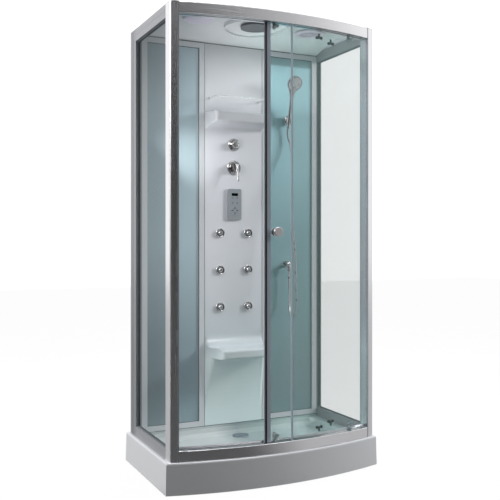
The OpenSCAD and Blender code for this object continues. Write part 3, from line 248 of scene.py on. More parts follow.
MATERIALS = {
    "tray": tray_finish("#CBCDD0"),
    "steel": surface("steel_frame", "#5C5E61", 0.45, metal=0.6, bump=0.2),
    "foot": surface("foot_plastic", "#26272A", 0.55, bump=0.2),
    "waste": surface("waste_plastic", "#D6D7D8", 0.35),
    "drain": surface("drain_metal", "#8B99A3", 0.32, metal=0.4, stretch=(30, 30, 1)),
    "post": surface("aluminium_upright", "#E6E6E9", 0.26, metal=1.0, stretch=UPRIGHT, **ANODISED),
    "rail": surface("aluminium_rail", "#E6E6E9", 0.26, metal=1.0, stretch=(1, 1, 60), **ANODISED),
    # Painted shade: the side and back rails are the front's aluminium made darker
    "side_rail": surface("aluminium_side_rail_shaded", "#939498", 0.45, metal=0.25, scale=2.0, stretch=(60, 1, 60),
                         vary=0.02, rough_vary=0.015),
    "post_bead": surface("aluminium_bead", "#86878B", 0.4, metal=0.35, scale=2.0, stretch=UPRIGHT,
                         vary=0.012),
    "rear_post": surface("aluminium_rear", "#8D8F93", 0.42, metal=0.6, stretch=UPRIGHT, **ANODISED),
    "panel_strip": surface("aluminium_strip", "#D3D7DB", 0.38, metal=0.1, stretch=(40, 40, 1), **ANODISED),
    "cap": surface("cap_plastic", "#9FA0A3", 0.4, bump=0.1),
    "rubber": surface("seal_rubber", "#0F1214", 0.6, bump=0.2, specular=0.25),
    "door_rubber": faded("door_rubber", "X",
                         [(-0.099, "#7C8288"), (-0.0915, "#7C8288"), (-0.0908, "#060708"),
                          (-0.0810, "#060708"), (-0.0803, "#8F97A6"), (-0.070, "#8F97A6")],
                         rough=0.55, coat=0.0),
    "carriage": faded("carriage_plastic", "X",
                      [(-0.2, "#8C979B"), (0.11, "#8C979B"), (0.12, "#0C0C0D"), (0.33, "#0C0C0D"),
                       (0.34, "#8C979B"), (0.5, "#8C979B")], rough=0.4, coat=0.0),
    "wheel": surface("wheel_nylon", "#A4ACAF", 0.4, vary=0.02),
    "gasket": surface("gasket_rubber", "#5F6569", 0.6, bump=0.2, specular=0.25),
    "column_joint": surface("column_joint", "#8E969A", 0.5, vary=0.03, specular=0.3),
    "joint": surface("joint_sealant", "#555D61", 0.5, vary=0.03, specular=0.3),
    "wire": surface("coated_wire", "#D9DCDD", 0.25, metal=0.3, vary=0.02, scale=60),
    "strip": surface("edge_strip", "#99A2AE", 0.35, vary=0.02, scale=20),
    "edge": surface("edge_pale", "#9DABB4", 0.35, vary=0.02, scale=20),
    "chrome": surface("chrome", "#D9D6D7", 0.09, metal=1.0, vary=0.02, rough_vary=0.03, scale=60),
    "hose": surface("hose_metal", "#B4B7BA", 0.3, metal=0.6, vary=0.02, scale=60),
    "black": surface("black_plastic", "#0C0C0D", 0.4, bump=0.2),
    # Painted shade on the moulding: darker just above the seat, at the shelf and at the top. It is also
    # greener below the seat.
    "column": faded("column_acrylic", "Z",
                    [(0.15, "#DEEDEE"), (0.50, "#E0EDEE"), (0.57, "#C7D1D6"), (0.8, "#D8DDE2"),
                     (1.1, "#E4E6EC"), (1.69, "#E4E6EC"), (1.72, "#D3D5DA"), (1.765, "#D3D5DA"),
                     (1.78, "#DEE0E5"), (2.1, "#CFD2D5")], rough=0.2, coat=0.5, bump=0.02),
    "control": surface("control_face", "#A4AAB0", 0.38, metal=0.3, vary=0.02, scale=40),
    "display": surface("display_glass", "#08090B", 0.2, specular=0.2, scale=30),
    "button": surface("button_rubber", "#868D94", 0.5, bump=0.2),
    "bar": surface("pad_bar", "#25323E", 0.5, bump=0.2),
    "pad": surface("menu_pad", "#A1A7AD", 0.4, scale=30),
    "petal": surface("pad_petal", "#6F7C87", 0.35, scale=30),
    "nozzle": surface("nozzle_metal", "#C4C6CA", 0.18, metal=0.85, vary=0.03, scale=40),
    "nozzle_face": surface("shower_face", "#B4B6B9", 0.3, metal=0.25, vary=0.03, scale=40),
    "pipe": surface("supply_pipe", "#CFC2A8", 0.4),
    # Painted light: green light thrown from the teal pane, growing towards the right
    "ceiling": faded("ceiling_acrylic", "X", [(-0.1, "#DADDE0"), (0.15, "#E4F2F2"), (0.4, "#EEFFFD")],
                     rough=0.2, coat=0.5, bump=0.02),
    "rain": surface("rain_face", "#5A5D63", 0.35, bump=0.2),
    "lens": surface("lamp_lens", "#DAD6E4", 0.3, vary=0.02),
    "grille": surface("fan_grille", "#D6D2DE", 0.35, vary=0.02),
    "rotor": surface("fan_rotor", "#55565A", 0.5),
    # Painted light and shade: lighter at mid height, darker low down and towards the left corner
    "blue_grey": faded("back_pane_left_painted_shade", "Z",
                       [(0.2, "#8FA3AA"), (0.6, "#93A6AE"), (1.1, "#B4C8D0"), (1.6, "#B4C8D0"),
                        (2.0, "#B0C2CA")],
                       across=[(-0.47, "#E2E2E2"), (-0.38, "#E6E6E6"), (-0.30, "#FFFFFF")]),
    # Painted light and shade: lighter high up, darker low down, and a painted shadow of the ceiling in a band
    # at the top
    "teal": faded("back_pane_right_painted_shade", "Z",
                  [(0.3, "#859DA0"), (0.8, "#8EAFB3"), (1.15, "#91B5BB"), (1.5, "#ABD4DC"), (1.85, "#AFD9E1"),
                   (2.045, "#B6E0E8"), (2.055, "#8CABAE")]),
    "side_glass": surface("clear_glass", "#8B9C9B", 0.03, alpha=0.04, **PANE),
    "glass": surface("front_glass", "#7FA09E", 0.03, alpha=0.095, **PANE),
}


# The CAD nodes that wear each finish

FINISH = {
    "tray": ["tray"], "steel": ["tray_frame"], "foot": ["adjustable_feet"], "waste": ["drain_body"],
    "drain": ["drain_cover"],
    "post": ["post_front_left", "post_front_right"], "rear_post": ["post_back_left", "post_back_right"],
    "panel_strip": ["panel_frame_left", "panel_frame_right"],
    "rail": ["front_rail_top", "front_rail_bottom"], "side_rail": ["side_rails", "back_rails"],
    "cap": ["post_caps"], "side_glass": ["side_glass"], "glass": ["fixed_panel", "door_glass"],
    "gasket": ["glazing_gaskets"], "door_rubber": ["door_seal"], "strip": ["door_edge_trim"],
    "edge": ["fixed_panel_trim"], "wire": ["shelf_rail"],
    "chrome": ["door_knob", "valve_bodies", "mixer_cap", "mixer_lever", "diverter_knob", "jet_bodies",
               "hand_shower", "hand_shower_fittings"],
    "carriage": ["roller_carriages"],
    "wheel": ["wheel_top_lead", "wheel_top_trail", "wheel_bottom_lead", "wheel_bottom_trail"],
    "blue_grey": ["back_panel_left"], "teal": ["back_panel_right"], "column": ["column"],
    "control": ["control_panel"], "display": ["display_window"],
    "button": [f"button_{k}" for k in range(1, 5)], "pad": ["menu_pad"],
    "nozzle": [f"jet_nozzle_{k}" for k in range(1, 7)],
    "pipe": ["supply_pipes"], "ceiling": ["ceiling"], "rain": ["rain_head"], "lens": ["ceiling_lamp"],
    "grille": ["extractor_fan"], "rotor": ["fan_rotor"],
}


CAD_CREASE, COLUMN_CREASE, CREASE = 28, 50, 40    # Degrees from which an edge is drawn sharp


def sharpen(piece, degrees=CREASE):
    piece.data.set_sharp_from_angle(angle=math.radians(degrees))


def dress():
    """Gives each carried-over node its finish, and shades its round faces smooth."""
    for finish, names in FINISH.items():
        for name in names:
            NODES[name].data.shade_smooth()
            sharpen(NODES[name], CAD_CREASE)
            for slot in NODES[name].material_slots:
                slot.material = MATERIALS[finish]


dress()


# Mesh helpers

def new_object(name, verts, faces, material, smooth=True):
    mesh = bpy.data.meshes.new(name)
    mesh.from_pydata([tuple(v) for v in verts], [], faces)
    mesh.update()
    piece = bpy.data.objects.new(name, mesh)
    scene.collection.objects.link(piece)
    mesh.materials.append(material)
    if smooth:
        mesh.shade_smooth()
    return piece


def curve_points(points, steps):
    """A smooth curve through the points, as the part's source draws it."""
    p = [Vector(q) for q in points]
    line = []
    for i in range(len(p) - 1):
        a, b, c, d = p[max(i - 1, 0)], p[i], p[i + 1], p[min(i + 2, len(p) - 1)]
        for s in range(steps):
            t = s / steps
            line.append(0.5 * (2 * b + (c - a) * t + (2 * a - 5 * b + 4 * c - d) * t * t
                               + (3 * b - a - 3 * c + d) * t ** 3))
    return line + [p[-1]]


def even_points(line, gap):
    """The same line with its points about one gap apart."""
    lengths = [0.0]
    for a, b in zip(line, line[1:]):
        lengths.append(lengths[-1] + (b - a).length)
    count = round(lengths[-1] / gap)
    coords = np.array([tuple(v) for v in line])
    places = np.linspace(0, lengths[-1], count + 1)
    return [Vector(v) for v in np.stack([np.interp(places, lengths, coords[:, k]) for k in range(3)], 1)]


def angles(count):
    return [2 * math.pi * k / count for k in range(count)]


def band_faces(rows, sides, closed=False):
    """Faces between each ring of points and the next, and from the last ring to the first where closed."""
    return [[i * sides + k, i * sides + (k + 1) % sides, (i + 1) % rows * sides + (k + 1) % sides,
             (i + 1) % rows * sides + k] for i in range(rows if closed else rows - 1) for k in range(sides)]


def end_faces(rows, sides):
    """The two faces that close a stack of rings."""
    return [list(range(sides))[::-1], [(rows - 1) * sides + k for k in range(sides)]]


def tube(name, line, radii, sides, material):
    """A closed tube along a line, with a radius for each of its points."""
    verts = []
    last = len(line) - 1
    for i, point in enumerate(line):
        ahead = (line[min(i + 1, last)] - line[max(i - 1, 0)]).normalized()
        side = (Vector((1, 0, 0)) - ahead * ahead.x).normalized()
        up = ahead.cross(side)
        verts += [point + radii[i] * (side * math.cos(a) + up * math.sin(a)) for a in angles(sides)]
    rows = len(line)
    return new_object(name, verts, band_faces(rows, sides) + end_faces(rows, sides), material)


def rounded(corners, steps):
    """A flat path through corners of (x, y, radius), with each corner rounded by an arc."""
    path = []
    for i, (x, y, r) in enumerate(corners):
        here = Vector((x, y))
        if r <= 0 or i in (0, len(corners) - 1):
            path.append(here)
            continue
        before = (Vector(corners[i - 1][:2]) - here).normalized()
        after = (Vector(corners[i + 1][:2]) - here).normalized()
        half = before.angle(after) / 2
        reach = r / math.tan(half)
        middle = here + (before + after).normalized() * (r / math.sin(half))
        start, end = here + before * reach - middle, here + after * reach - middle
        turn = start.angle_signed(end)
        for k in range(steps + 1):
            path.append(middle + Matrix.Rotation(-turn * k / steps, 2) @ start)
    return path


def thicken(piece, thickness):
    """Gives a sheet its wall, behind the faces it has."""
    solid = piece.modifiers.new("wall", "SOLIDIFY")
    solid.thickness = thickness
    solid.offset = -1
    bpy.context.view_layer.objects.active = piece
    with bpy.context.temp_override(object=piece, active_object=piece, selected_objects=[piece]):
        bpy.ops.object.modifier_apply(modifier=solid.name)


def grid_faces(rows, columns):
    return [[r * columns + c, r * columns + c + 1, (r + 1) * columns + c + 1, (r + 1) * columns + c]
            for r in range(rows - 1) for c in range(columns - 1)]


def turned(name, profile, place, sides, material):
    """A piece turned about its own Z from (radius, height) pairs that run up its outside."""
    verts = [place @ Vector((r * math.cos(a), r * math.sin(a), z)) for r, z in profile for a in angles(sides)]
    rows = len(profile)
    return new_object(name, verts, band_faces(rows, sides) + end_faces(rows, sides), material)


def join(pieces):
    """Joins meshes into the first, each with its own material."""
    target = pieces[0]
    with bpy.context.temp_override(object=target, active_object=target, selected_objects=pieces,
                                   selected_editable_objects=pieces):
        bpy.ops.object.join()
    return target


# Moulded column: a side profile swept in level rows, each as wide as its reach lets it be

WALL_Y = 0.230
COLUMN_HALF = 0.1647
COLUMN_LOW, COLUMN_TOP = 0.152, 2.1227
COLUMN_BACK = 0.019
COLUMN_WALL = 0.004
PEDESTAL_Z, PEDESTAL_R, PEDESTAL_STEP = 0.200, 0.680, 0.026
SEAT_Z, SEAT_REACH = 0.560, 0.165
SHELF_Z, SHELF_REACH, SHELF_LIP = 1.763, 0.110, 0.108
SIDE_CORNER, SIDE_LEAN, SIDE_STEPS = 0.022, 0.21, 8
FLAT_HALF = 0.05


def column_profile():
    """Reach and height, from the bottom up: pedestal, seat, backrest hollow, shelf and top."""
    rises = [PEDESTAL_STEP * k for k in range(1, 11)]
    pedestal = [(PEDESTAL_R - math.sqrt(PEDESTAL_R ** 2 - rise ** 2), PEDESTAL_Z + rise, 0.05)
                for rise in rises]
    seat_under = SEAT_Z - 0.048
    seat = [(0.075, seat_under, 0.022), (SEAT_REACH, seat_under, 0.012), (SEAT_REACH, SEAT_Z, 0.014),
            (0, SEAT_Z, 0.062)]
    shelf = [(0, SHELF_Z - 0.076, 0.02), (SHELF_LIP, SHELF_Z - 0.050, 0.009),
             (SHELF_REACH, SHELF_Z, 0.010), (0, SHELF_Z, 0.014)]
    corners = [(0, COLUMN_LOW, 0), (0, PEDESTAL_Z, 0.05)] + pedestal + seat + shelf + [(0, COLUMN_TOP, 0)]
    return rounded(corners, 7)


def column_row(reach):
    """Half of a level row, from the column's edge to its middle, as (x, reach)."""
    depth = min(SIDE_CORNER, reach)
    row = [(-COLUMN_HALF, 0.0), (-COLUMN_HALF + 0.001 + SIDE_LEAN * (reach - depth), reach - depth)]
    start = row[-1][0]
    for k in range(1, SIDE_STEPS + 1):
        a = math.pi / 2 * k / SIDE_STEPS
        row.append((start + SIDE_CORNER * (1 - math.cos(a)), reach - depth + depth * math.sin(a)))
    return row + [(-FLAT_HALF, reach)]


def make_column():
    """The whole moulding, with its wall's thickness."""
    verts = []
    for reach, z in column_profile():
        half = column_row(max(0.0, reach))
        row = half + [(-x, r) for x, r in reversed(half)]
        row = [(-COLUMN_HALF, -COLUMN_BACK)] + row + [(COLUMN_HALF, -COLUMN_BACK)]
        verts += [(x, WALL_Y - r, z) for x, r in row]
    faces = grid_faces(len(verts) // len(row), len(row))
    column = new_object("column_moulding", verts, faces, MATERIALS["column"])
    thicken(column, COLUMN_WALL)
    sharpen(column, COLUMN_CREASE)
    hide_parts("column")
    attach(column, "cabin")


make_column()


# Hose, along its route in millimetres

HOSE_ROUTE = [
    (312, 203, 944), (312, 203, 920), (312, 203, 890), (312, 203, 850), (312, 201, 800), (311, 195, 760),
    (309, 181, 726), (306, 160, 706), (303, 135, 706), (301, 114, 726), (300, 102, 760), (299, 98, 800),
    (299, 99, 860), (299, 103, 940), (298, 110, 1040), (293, 120, 1150), (294, 134, 1260),
    (303, 152, 1370), (315, 175, 1480), (326, 199, 1570), (325, 212, 1625), (316, 218, 1658),
    (312, 218, 1685), (312, 213, 1711)]
HOSE_R = 0.006
HOSE_PITCH = 0.0046
HOSE_GROOVE = 0.0007
HOSE_SIDES, HOSE_STEPS = 12, 12


def make_hose():
    """A ribbed tube along the hose's route."""
    route = [tuple(c / 1000 for c in p) for p in HOSE_ROUTE]
    line = even_points(curve_points(route, HOSE_STEPS), HOSE_PITCH / 2)
    radii = [HOSE_R if i % 2 else HOSE_R - HOSE_GROOVE for i in range(len(line))]
    hose = tube("hose_ribbed", line, radii, HOSE_SIDES, MATERIALS["hose"])
    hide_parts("hose")
    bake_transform(hose)


make_hose()


# Hand shower: a spoon-shaped body, a turned face and rings of nozzles

HAND_PLACE = Matrix.Translation((0.312, 0.203, 1.752)) @ Matrix.Rotation(math.radians(14), 4, "X")
FACE_PLACE = HAND_PLACE @ Matrix.Translation((0, -0.014, 0.198)) @ Matrix.Rotation(math.radians(-68), 4, "X")

# Height, set-back, half width and half depth of each section, in millimetres
HAND_STEM = [(-42, 0, 8.0, 8.0), (16, 0, 10.4, 10.4), (19, 0, 10.4, 10.4), (27, 0, 8.6, 8.4)]
HAND_HEAD = [(60, 0, 7.8, 7.2), (95, 0.5, 8.4, 7.4), (125, 0, 11.5, 8.6), (150, -1.5, 19, 10),
             (170, -4.5, 30, 11), (190, -9, 38.5, 11.5), (208, -14, 39.5, 10.5), (222, -19, 34, 8.5),
             (231, -22.5, 25, 6), (236, -25, 13, 3)]
HAND_SIDES, FACE_SIDES = 28, 56
STUD_RINGS = ((0.007, 6), (0.014, 12), (0.021, 18), (0.028, 24))
STUD_PROFILE = [(0.0006, 0), (0.0012, 0.0006), (0.0013, 0.0022)]
STUD_OUT = -0.0118
AXIS_R = 0.0001    # Stands for a turned profile's axis


def make_hand_shower():
    smooth = curve_points([(a, b, c) for a, b, c, _ in HAND_HEAD], 4)
    depths = curve_points([(a, 0, d) for a, _, _, d in HAND_HEAD], 4)
    rows = [tuple(v / 1000 for v in s) for s in HAND_STEM]
    rows += [(q.x / 1000, q.y / 1000, q.z / 1000, d.z / 1000) for q, d in zip(smooth, depths)]
    verts = [HAND_PLACE @ Vector((a * math.cos(t), y + b * math.sin(t), z))
             for z, y, a, b in rows for t in angles(HAND_SIDES)]
    faces = band_faces(len(rows), HAND_SIDES) + end_faces(len(rows), HAND_SIDES)
    body = new_object("hand_shower_body", verts, faces, MATERIALS["chrome"])
    edge = rounded([(0.036, -0.0085, 0), (0.0365, -0.0115, 0.001), (0.0425, -0.0095, 0.003),
                    (0.0425, 0.002, 0.004), (0.034, 0.008, 0.003), (0.0, 0.009, 0)], 4)
    rim = turned("hand_shower_rim", [(AXIS_R, -0.0085)] + [tuple(q) for q in edge], FACE_PLACE, FACE_SIDES,
                 MATERIALS["chrome"])
    dish = [(AXIS_R, -0.0105), (0.0340, -0.0102), (0.0355, -0.0092), (0.0355, -0.006)]
    plate = turned("hand_shower_face", dish, FACE_PLACE, FACE_SIDES, MATERIALS["nozzle_face"])
    studs = []
    for radius, count in STUD_RINGS:
        for a in angles(count):
            spot = FACE_PLACE @ Matrix.Translation((radius * math.cos(a), radius * math.sin(a), STUD_OUT))
            studs.append(turned("stud", STUD_PROFILE, spot, 8, MATERIALS["rubber"]))
    hand = join([body, rim, plate] + studs)
    sharpen(hand)
    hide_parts("hand_shower")
    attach(hand, "hand_shower")


make_hand_shower()


# Four-way pad: a dished disc with dark bars between pale petals

PAD_FRONT = 0.2164
PAD_Z = 1.262
KEY_DEPTH = 0.0012
BAR_OUT, PETAL_OUT = 0.0138, 0.0135    # Distance of the keys' middles from the pad's
PETAL_RISE = 0.0002
OVAL_POINTS = 20


def outline_plate(outline, front, thickness, edge, material):
    """A flat key that faces the front, with a narrow chamfer round its outline of (x, z) points."""
    middle = Vector((sum(p[0] for p in outline), sum(p[1] for p in outline))) / len(outline)
    verts = []
    for shrink, depth in ((0, thickness), (0, edge), (edge, 0)):
        for p in outline:
            inward = (middle - Vector(p)).normalized() * shrink
            verts.append((p[0] + inward.x, front + depth, p[1] + inward.y))
    n = len(outline)
    return new_object("key", verts, band_faces(3, n) + end_faces(3, n)[::-1], material)


def oval(x, z, half_long, half_wide, turn):
    """The outline of an ellipse, turned from its long side along X."""
    c, s = math.cos(turn), math.sin(turn)
    return [(x + half_long * math.cos(a) * c - half_wide * math.sin(a) * s,
             z + half_long * math.cos(a) * s + half_wide * math.sin(a) * c) for a in angles(OVAL_POINTS)]


def make_pad():
    lie = Matrix.Translation((0, PAD_FRONT, PAD_Z)) @ Matrix.Rotation(math.radians(90), 4, "X")
    profile = rounded([(0.024, -0.0032, 0), (0.024, 0.0, 0.0008), (0.0215, -0.0001, 0.0008),
                       (0.019, -0.0008, 0.001), (AXIS_R, -0.0008, 0)], 4)
    disc = turned("pad_disc", [tuple(p) for p in profile], lie, 64, MATERIALS["pad"])
    keys = []
    for a in angles(4):
        bar = oval(BAR_OUT * math.cos(a), PAD_Z + BAR_OUT * math.sin(a), 0.0074, 0.0022, a)
        keys.append(outline_plate(bar, PAD_FRONT, KEY_DEPTH, 0.0004, MATERIALS["bar"]))
        a += math.pi / 4
        petal = oval(PETAL_OUT * math.cos(a), PAD_Z + PETAL_OUT * math.sin(a), 0.0040, 0.0018, a)
        keys.append(outline_plate(petal, PAD_FRONT - PETAL_RISE, KEY_DEPTH, 0.0005, MATERIALS["petal"]))
    pad = join([disc] + keys)
    pad.name = "pad_keys"
    sharpen(pad)
    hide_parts("menu_pad")
    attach(pad, "menu_pad")


make_pad()


# Seals round the back panes, joints of the back wall, beads on the front posts and seals of the ceiling

STRIP_FACES = [[k, k + 1, k + 5, k + 4] for k in range(3)] + [[3, 2, 1, 0], [4, 5, 6, 7]]


def seal_line(a, b, width, rise, material):
    """A low bevelled strip between two points on a face that looks to the front."""
    a, b = Vector(a), Vector(b)
    across = (b - a).normalized().cross(Vector((0, -1, 0)))
    verts = [end + across * (width * at) + Vector((0, -rise * up, 0))
             for end in (a, b) for at, up in ((-0.5, 0), (-0.25, 1), (0.25, 1), (0.5, 0))]
    return new_object("seal", verts, STRIP_FACES, material, smooth=False)


PANE_Y = 0.237
PANE_X = (0.194, 0.471)
PANE_Z = (0.181, COLUMN_TOP - 0.029)
WALL_HALF = 0.500
COLUMN_JOINT_X = 0.165
SEAL_HALF, SEAL_RISE = 0.0014, 0.0012


def make_seals():
    """Strips round both back panes and along the wall's ends, and one down each side of the column."""
    lines = []
    (x0, x1), (z0, z1) = PANE_X, PANE_Z
    for side in (-1, 1):
        for x in (x0 + SEAL_HALF, x1 - SEAL_HALF):
            lines.append(((side * x, PANE_Y, z0), (side * x, PANE_Y, z1)))
        for z in (z0 + SEAL_HALF, z1 - SEAL_HALF):
            lines.append(((side * x0, PANE_Y, z), (side * x1, PANE_Y, z)))
    for z in (COLUMN_LOW + SEAL_HALF, COLUMN_TOP - SEAL_HALF):
        lines.append(((-WALL_HALF, WALL_Y, z), (WALL_HALF, WALL_Y, z)))
    seals = [seal_line(a, b, 2 * SEAL_HALF, SEAL_RISE, MATERIALS["joint"]) for a, b in lines]
    for x in (-COLUMN_JOINT_X, COLUMN_JOINT_X):
        low, top = (x, WALL_Y, COLUMN_LOW), (x, WALL_Y, COLUMN_TOP)
        seals.append(seal_line(low, top, 2 * SEAL_HALF, SEAL_RISE, MATERIALS["column_joint"]))
    seals = join(seals)
    seals.name = "wall_seals"
    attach(seals, "cabin")


make_seals()


# Sections as (x, height above the post's face) and as (x, z)
BEAD_SECTION = ((0.4968, 0.0), (0.4960, 0.0009), (0.4922, 0.0009), (0.4913, 0.0))
BEAD_ENDS = (0.1402, 2.1498)
CEILING_SECTION = ((0.4880, 2.1590), (0.4890, 2.1440), (0.5015, 2.1430), (0.5022, 2.1500), (0.5120, 2.1502),
                   (0.5110, 2.1620))
CEILING_ENDS = (-0.250, 0.236)


def make_beads():
    """A bright bead down the inner edge of each front post's face."""
    beads = []
    for side in (-1, 1):
        verts = [(side * x, BOW_Y - math.sqrt((BOW_R + rise) ** 2 - x * x), z) for z in BEAD_ENDS
                 for x, rise in BEAD_SECTION]
        faces = [face[::side] for face in STRIP_FACES]
        beads.append(new_object("bead", verts, faces, MATERIALS["post_bead"], smooth=False))
    bead = join(beads)
    bead.name = "post_beads"
    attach(bead, "cabin")


make_beads()


def make_ceiling_seals():
    """Closes the gap between the vaulted ceiling's ends and the side rails below them."""
    seals = []
    n = len(CEILING_SECTION)
    for side in (-1, 1):
        verts = [(side * x, y, z) for y in CEILING_ENDS for x, z in CEILING_SECTION]
        faces = [face[::side] for face in band_faces(2, n) + end_faces(2, n)]
        seals.append(new_object("ceiling_seal", verts, faces, MATERIALS["panel_strip"], smooth=False))
    seal = join(seals)
    seal.name = "ceiling_seals"
    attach(seal, "cabin")


make_ceiling_seals()


# Turned trims: rings round the valves and the jets, and the diverter's knob

def facing(x, z):
    """The place of a turned piece on the wall: its own Z points to the front."""
    return Matrix.Translation((x, WALL_Y, z)) @ Matrix.Rotation(math.radians(90), 4, "X")


def ring(name, profile, place, material, sides=48):
    """A turned ring. Its (radius, height) profile, in millimetres, is a closed loop."""
    verts = [place @ Vector((r * math.cos(a), r * math.sin(a), h))
             for r, h in ((r / 1000, h / 1000) for r, h in profile) for a in angles(sides)]
    return new_object(name, verts, band_faces(len(profile), sides, closed=True), material)


MIXER_Z, DIVERTER_Z = 1.486, 1.606
JET_X, JET_Z, JET_STEP = 0.080, 0.762, 0.192
VALVES = ((MIXER_Z, 39.0, 22.9), (DIVERTER_Z, 33.0, 21.4))    # Height, then outer and inner radius in mm
JET_LIP = [(23.4, 8.9), (23.0, 10.0), (21.4, 10.7), (19.6, 10.4), (18.4, 9.6), (18.2, 8.9)]
# Black ring of painted shade in the jet's gap round its nozzle
JET_SHADE_RING = [(18.2, 8.9), (18.0, 9.5), (15.2, 9.5), (15.0, 8.9)]


def make_trims():
    """Rims, collars and black rings of painted shade in the gaps, of the two valves and the six jets."""
    pieces = []
    for z, outer, inner in VALVES:
        rim = [(outer - 0.1, 3.6), (outer - 1.2, 5.2), (outer - 3, 6.2), (outer - 5, 6.4), (outer - 6.5, 5.6),
               (outer - 7.5, 5.1), (outer - 8.2, 5.1), (outer - 8.2, 3.6)]
        collar = [(inner + 3.6, 5.05), (inner + 3.4, 7.0), (inner + 2.4, 7.8), (inner + 1.4, 7.0),
                  (inner + 1.3, 5.05)]
        # Black ring of painted shade in the gap round the hub
        gap = [(inner + 1.3, 5.05), (inner + 1.2, 6.2), (inner + 0.1, 6.2), (inner, 5.05)]
        pieces += [ring("valve_rim", rim, facing(0, z), MATERIALS["chrome"]),
                   ring("valve_collar", collar, facing(0, z), MATERIALS["chrome"]),
                   ring("valve_shade_ring", gap, facing(0, z), MATERIALS["black"])]
    for row in range(3):
        for side in (-1, 1):
            place = facing(side * JET_X, JET_Z + row * JET_STEP)
            pieces += [ring("jet_rim", JET_LIP, place, MATERIALS["chrome"], 32),
                       ring("jet_shade_ring", JET_SHADE_RING, place, MATERIALS["black"], 32)]
    trims = join(pieces)
    trims.name = "control_trims"
    sharpen(trims)
    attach(trims, "cabin")


make_trims()


# The knob's outside in millimetres, as radius and height
GRIP_PROFILE = [(17.0, 5.4), (19.6, 5.8), (20.2, 7.0), (19.2, 8.2), (18.2, 9.0), (18.4, 10.0), (19.6, 11.0),
                (20.2, 13.0), (20.3, 22.0), (19.8, 25.4), (18.6, 27.4), (16.8, 28.4), (15.6, 28.2),
                (15.0, 27.6), (14.2, 27.7), (9.0, 28.7), (0.1, 29.1)]
GRIP_SIDES = 96
FLUTES, FLUTE_DEPTH, FLUTE_LOW, FLUTE_HIGH = 16, 0.35, 11, 25.5
POINTER_UP, POINTER_OUT = 0.0085, 0.0293


def make_diverter():
    """A stepped knob with a fluted grip, a domed face and a raised pointer."""
    place, verts = facing(0, DIVERTER_Z), []
    for r, h in GRIP_PROFILE:
        for a in angles(GRIP_SIDES):
            cut = FLUTE_DEPTH * (1 - math.cos(FLUTES * a)) / 2 if FLUTE_LOW <= h <= FLUTE_HIGH else 0
            x, y = (r - cut) * math.cos(a) / 1000, (r - cut) * math.sin(a) / 1000
            verts.append(place @ Vector((x, y, h / 1000)))
    rows = len(GRIP_PROFILE)
    faces = band_faces(rows, GRIP_SIDES) + end_faces(rows, GRIP_SIDES)
    knob = new_object("diverter_grip", verts, faces, MATERIALS["chrome"])
    outline = oval(0, DIVERTER_Z + POINTER_UP, 0.0013, 0.0045, 0)
    pointer = outline_plate(outline, WALL_Y - POINTER_OUT, KEY_DEPTH, 0.0004, MATERIALS["bar"])
    knob = join([knob, pointer])
    sharpen(knob)
    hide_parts("diverter_knob")
    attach(knob, "diverter_knob")


make_diverter()


# Inner radius of each groove, as a share of the cover's
GROOVES_AT = (0.2, 0.42, 0.64, 0.84)


def make_drain_grooves():
    """Dark grooves round the drain's cover, lifted with it."""
    corners = [v.co for v in NODES["drain_cover"].data.vertices]
    low = Vector(min(v[k] for v in corners) for k in range(3))
    high = Vector(max(v[k] for v in corners) for k in range(3))
    place = Matrix.Translation(((low.x + high.x) / 2, (low.y + high.y) / 2, high.z))
    reach = (high.x - low.x) * 500    # Half the cover's width, in millimetres
    grooves = []
    for inner in (reach * at for at in GROOVES_AT):
        profile = [(inner + 2.6, -0.2), (inner + 2.3, 0.35), (inner + 0.3, 0.35), (inner, -0.2)]
        grooves.append(ring("drain_groove", profile, place, MATERIALS["bar"]))
    groove = join(grooves)
    groove.name = "drain_grooves"
    sharpen(groove)
    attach(groove, "drain_cover")


make_drain_grooves()


# Studio

# The dark patch: the way it lies, then its core and tone, then where it starts and how bright its rim is
PATCH_WAY = (-0.42, -0.878, -0.22)
PATCH_CORE, PATCH_DARK = 0.88, 0.035
FLOOR_PATCH = (0.56, 0.56)
SKY_PATCH = (-0.05, 1.13)
FLOOR_HALF = 14.0
FLOOR_GLOW = 0.9
FLOOR_TONES = (0.05, 0.85)
WINDOW_EDGE = 0.4
# Direction, half angle in degrees and strength
WINDOWS = [((-0.80, -0.40, 0.44), 20, 7.0), ((0.15, -0.62, 0.77), 18, 6.0)]
# Name, place, target, size and power
LAMPS = [("lamp_key", (3.4, -1.35, 2.5), (0, 0, 1.0), (0.9, 0.9), 116),
         ("lamp_left", (-3.4, 0.8, 2.0), (0, 0, 1.0), (2.2, 2.6), 92),
         ("lamp_back_left", (-1.7, 3.4, 2.3), (-0.4, 0, 1.5), (1.4, 2.2), 7),
         ("lamp_inside", (-0.44, -0.25, 1.10), (0.12, 0.23, 1.05), (0.2, 1.3), 1.45),
         ("lamp_up", (0.14, -0.06, 1.80), (0.14, -0.03, 2.2), (0.7, 0.35), 1.2),
         ("lamp_shelf", (-0.31, 0.06, 1.51), (-0.06, 0.17, 1.74), (0.2, 0.2), 0.4)]


def dark_front(add, way, widest, brightest):
    """Strength by direction: dark in front of the object, as an unlit studio is, and full elsewhere."""
    front = add("ShaderNodeVectorMath", {0: way, 1: PATCH_WAY}, operation="DOT_PRODUCT").outputs["Value"]
    return add("ShaderNodeMapRange", {"Value": front, "From Min": widest, "From Max": PATCH_CORE,
                                      "To Min": brightest, "To Max": PATCH_DARK}).outputs["Result"]


def window(add, way, centre, half_angle, strength):
    """A soft bright patch of the sky that only gloss shows: a studio's softbox."""
    near = add("ShaderNodeVectorMath", {0: way, 1: centre}, operation="DOT_PRODUCT").outputs["Value"]
    edge = math.cos(math.radians(half_angle))
    full = edge + WINDOW_EDGE * (1 - edge)
    return add("ShaderNodeMapRange", {"Value": near, "From Min": edge, "From Max": full,
                                      "To Max": strength}).outputs["Result"]


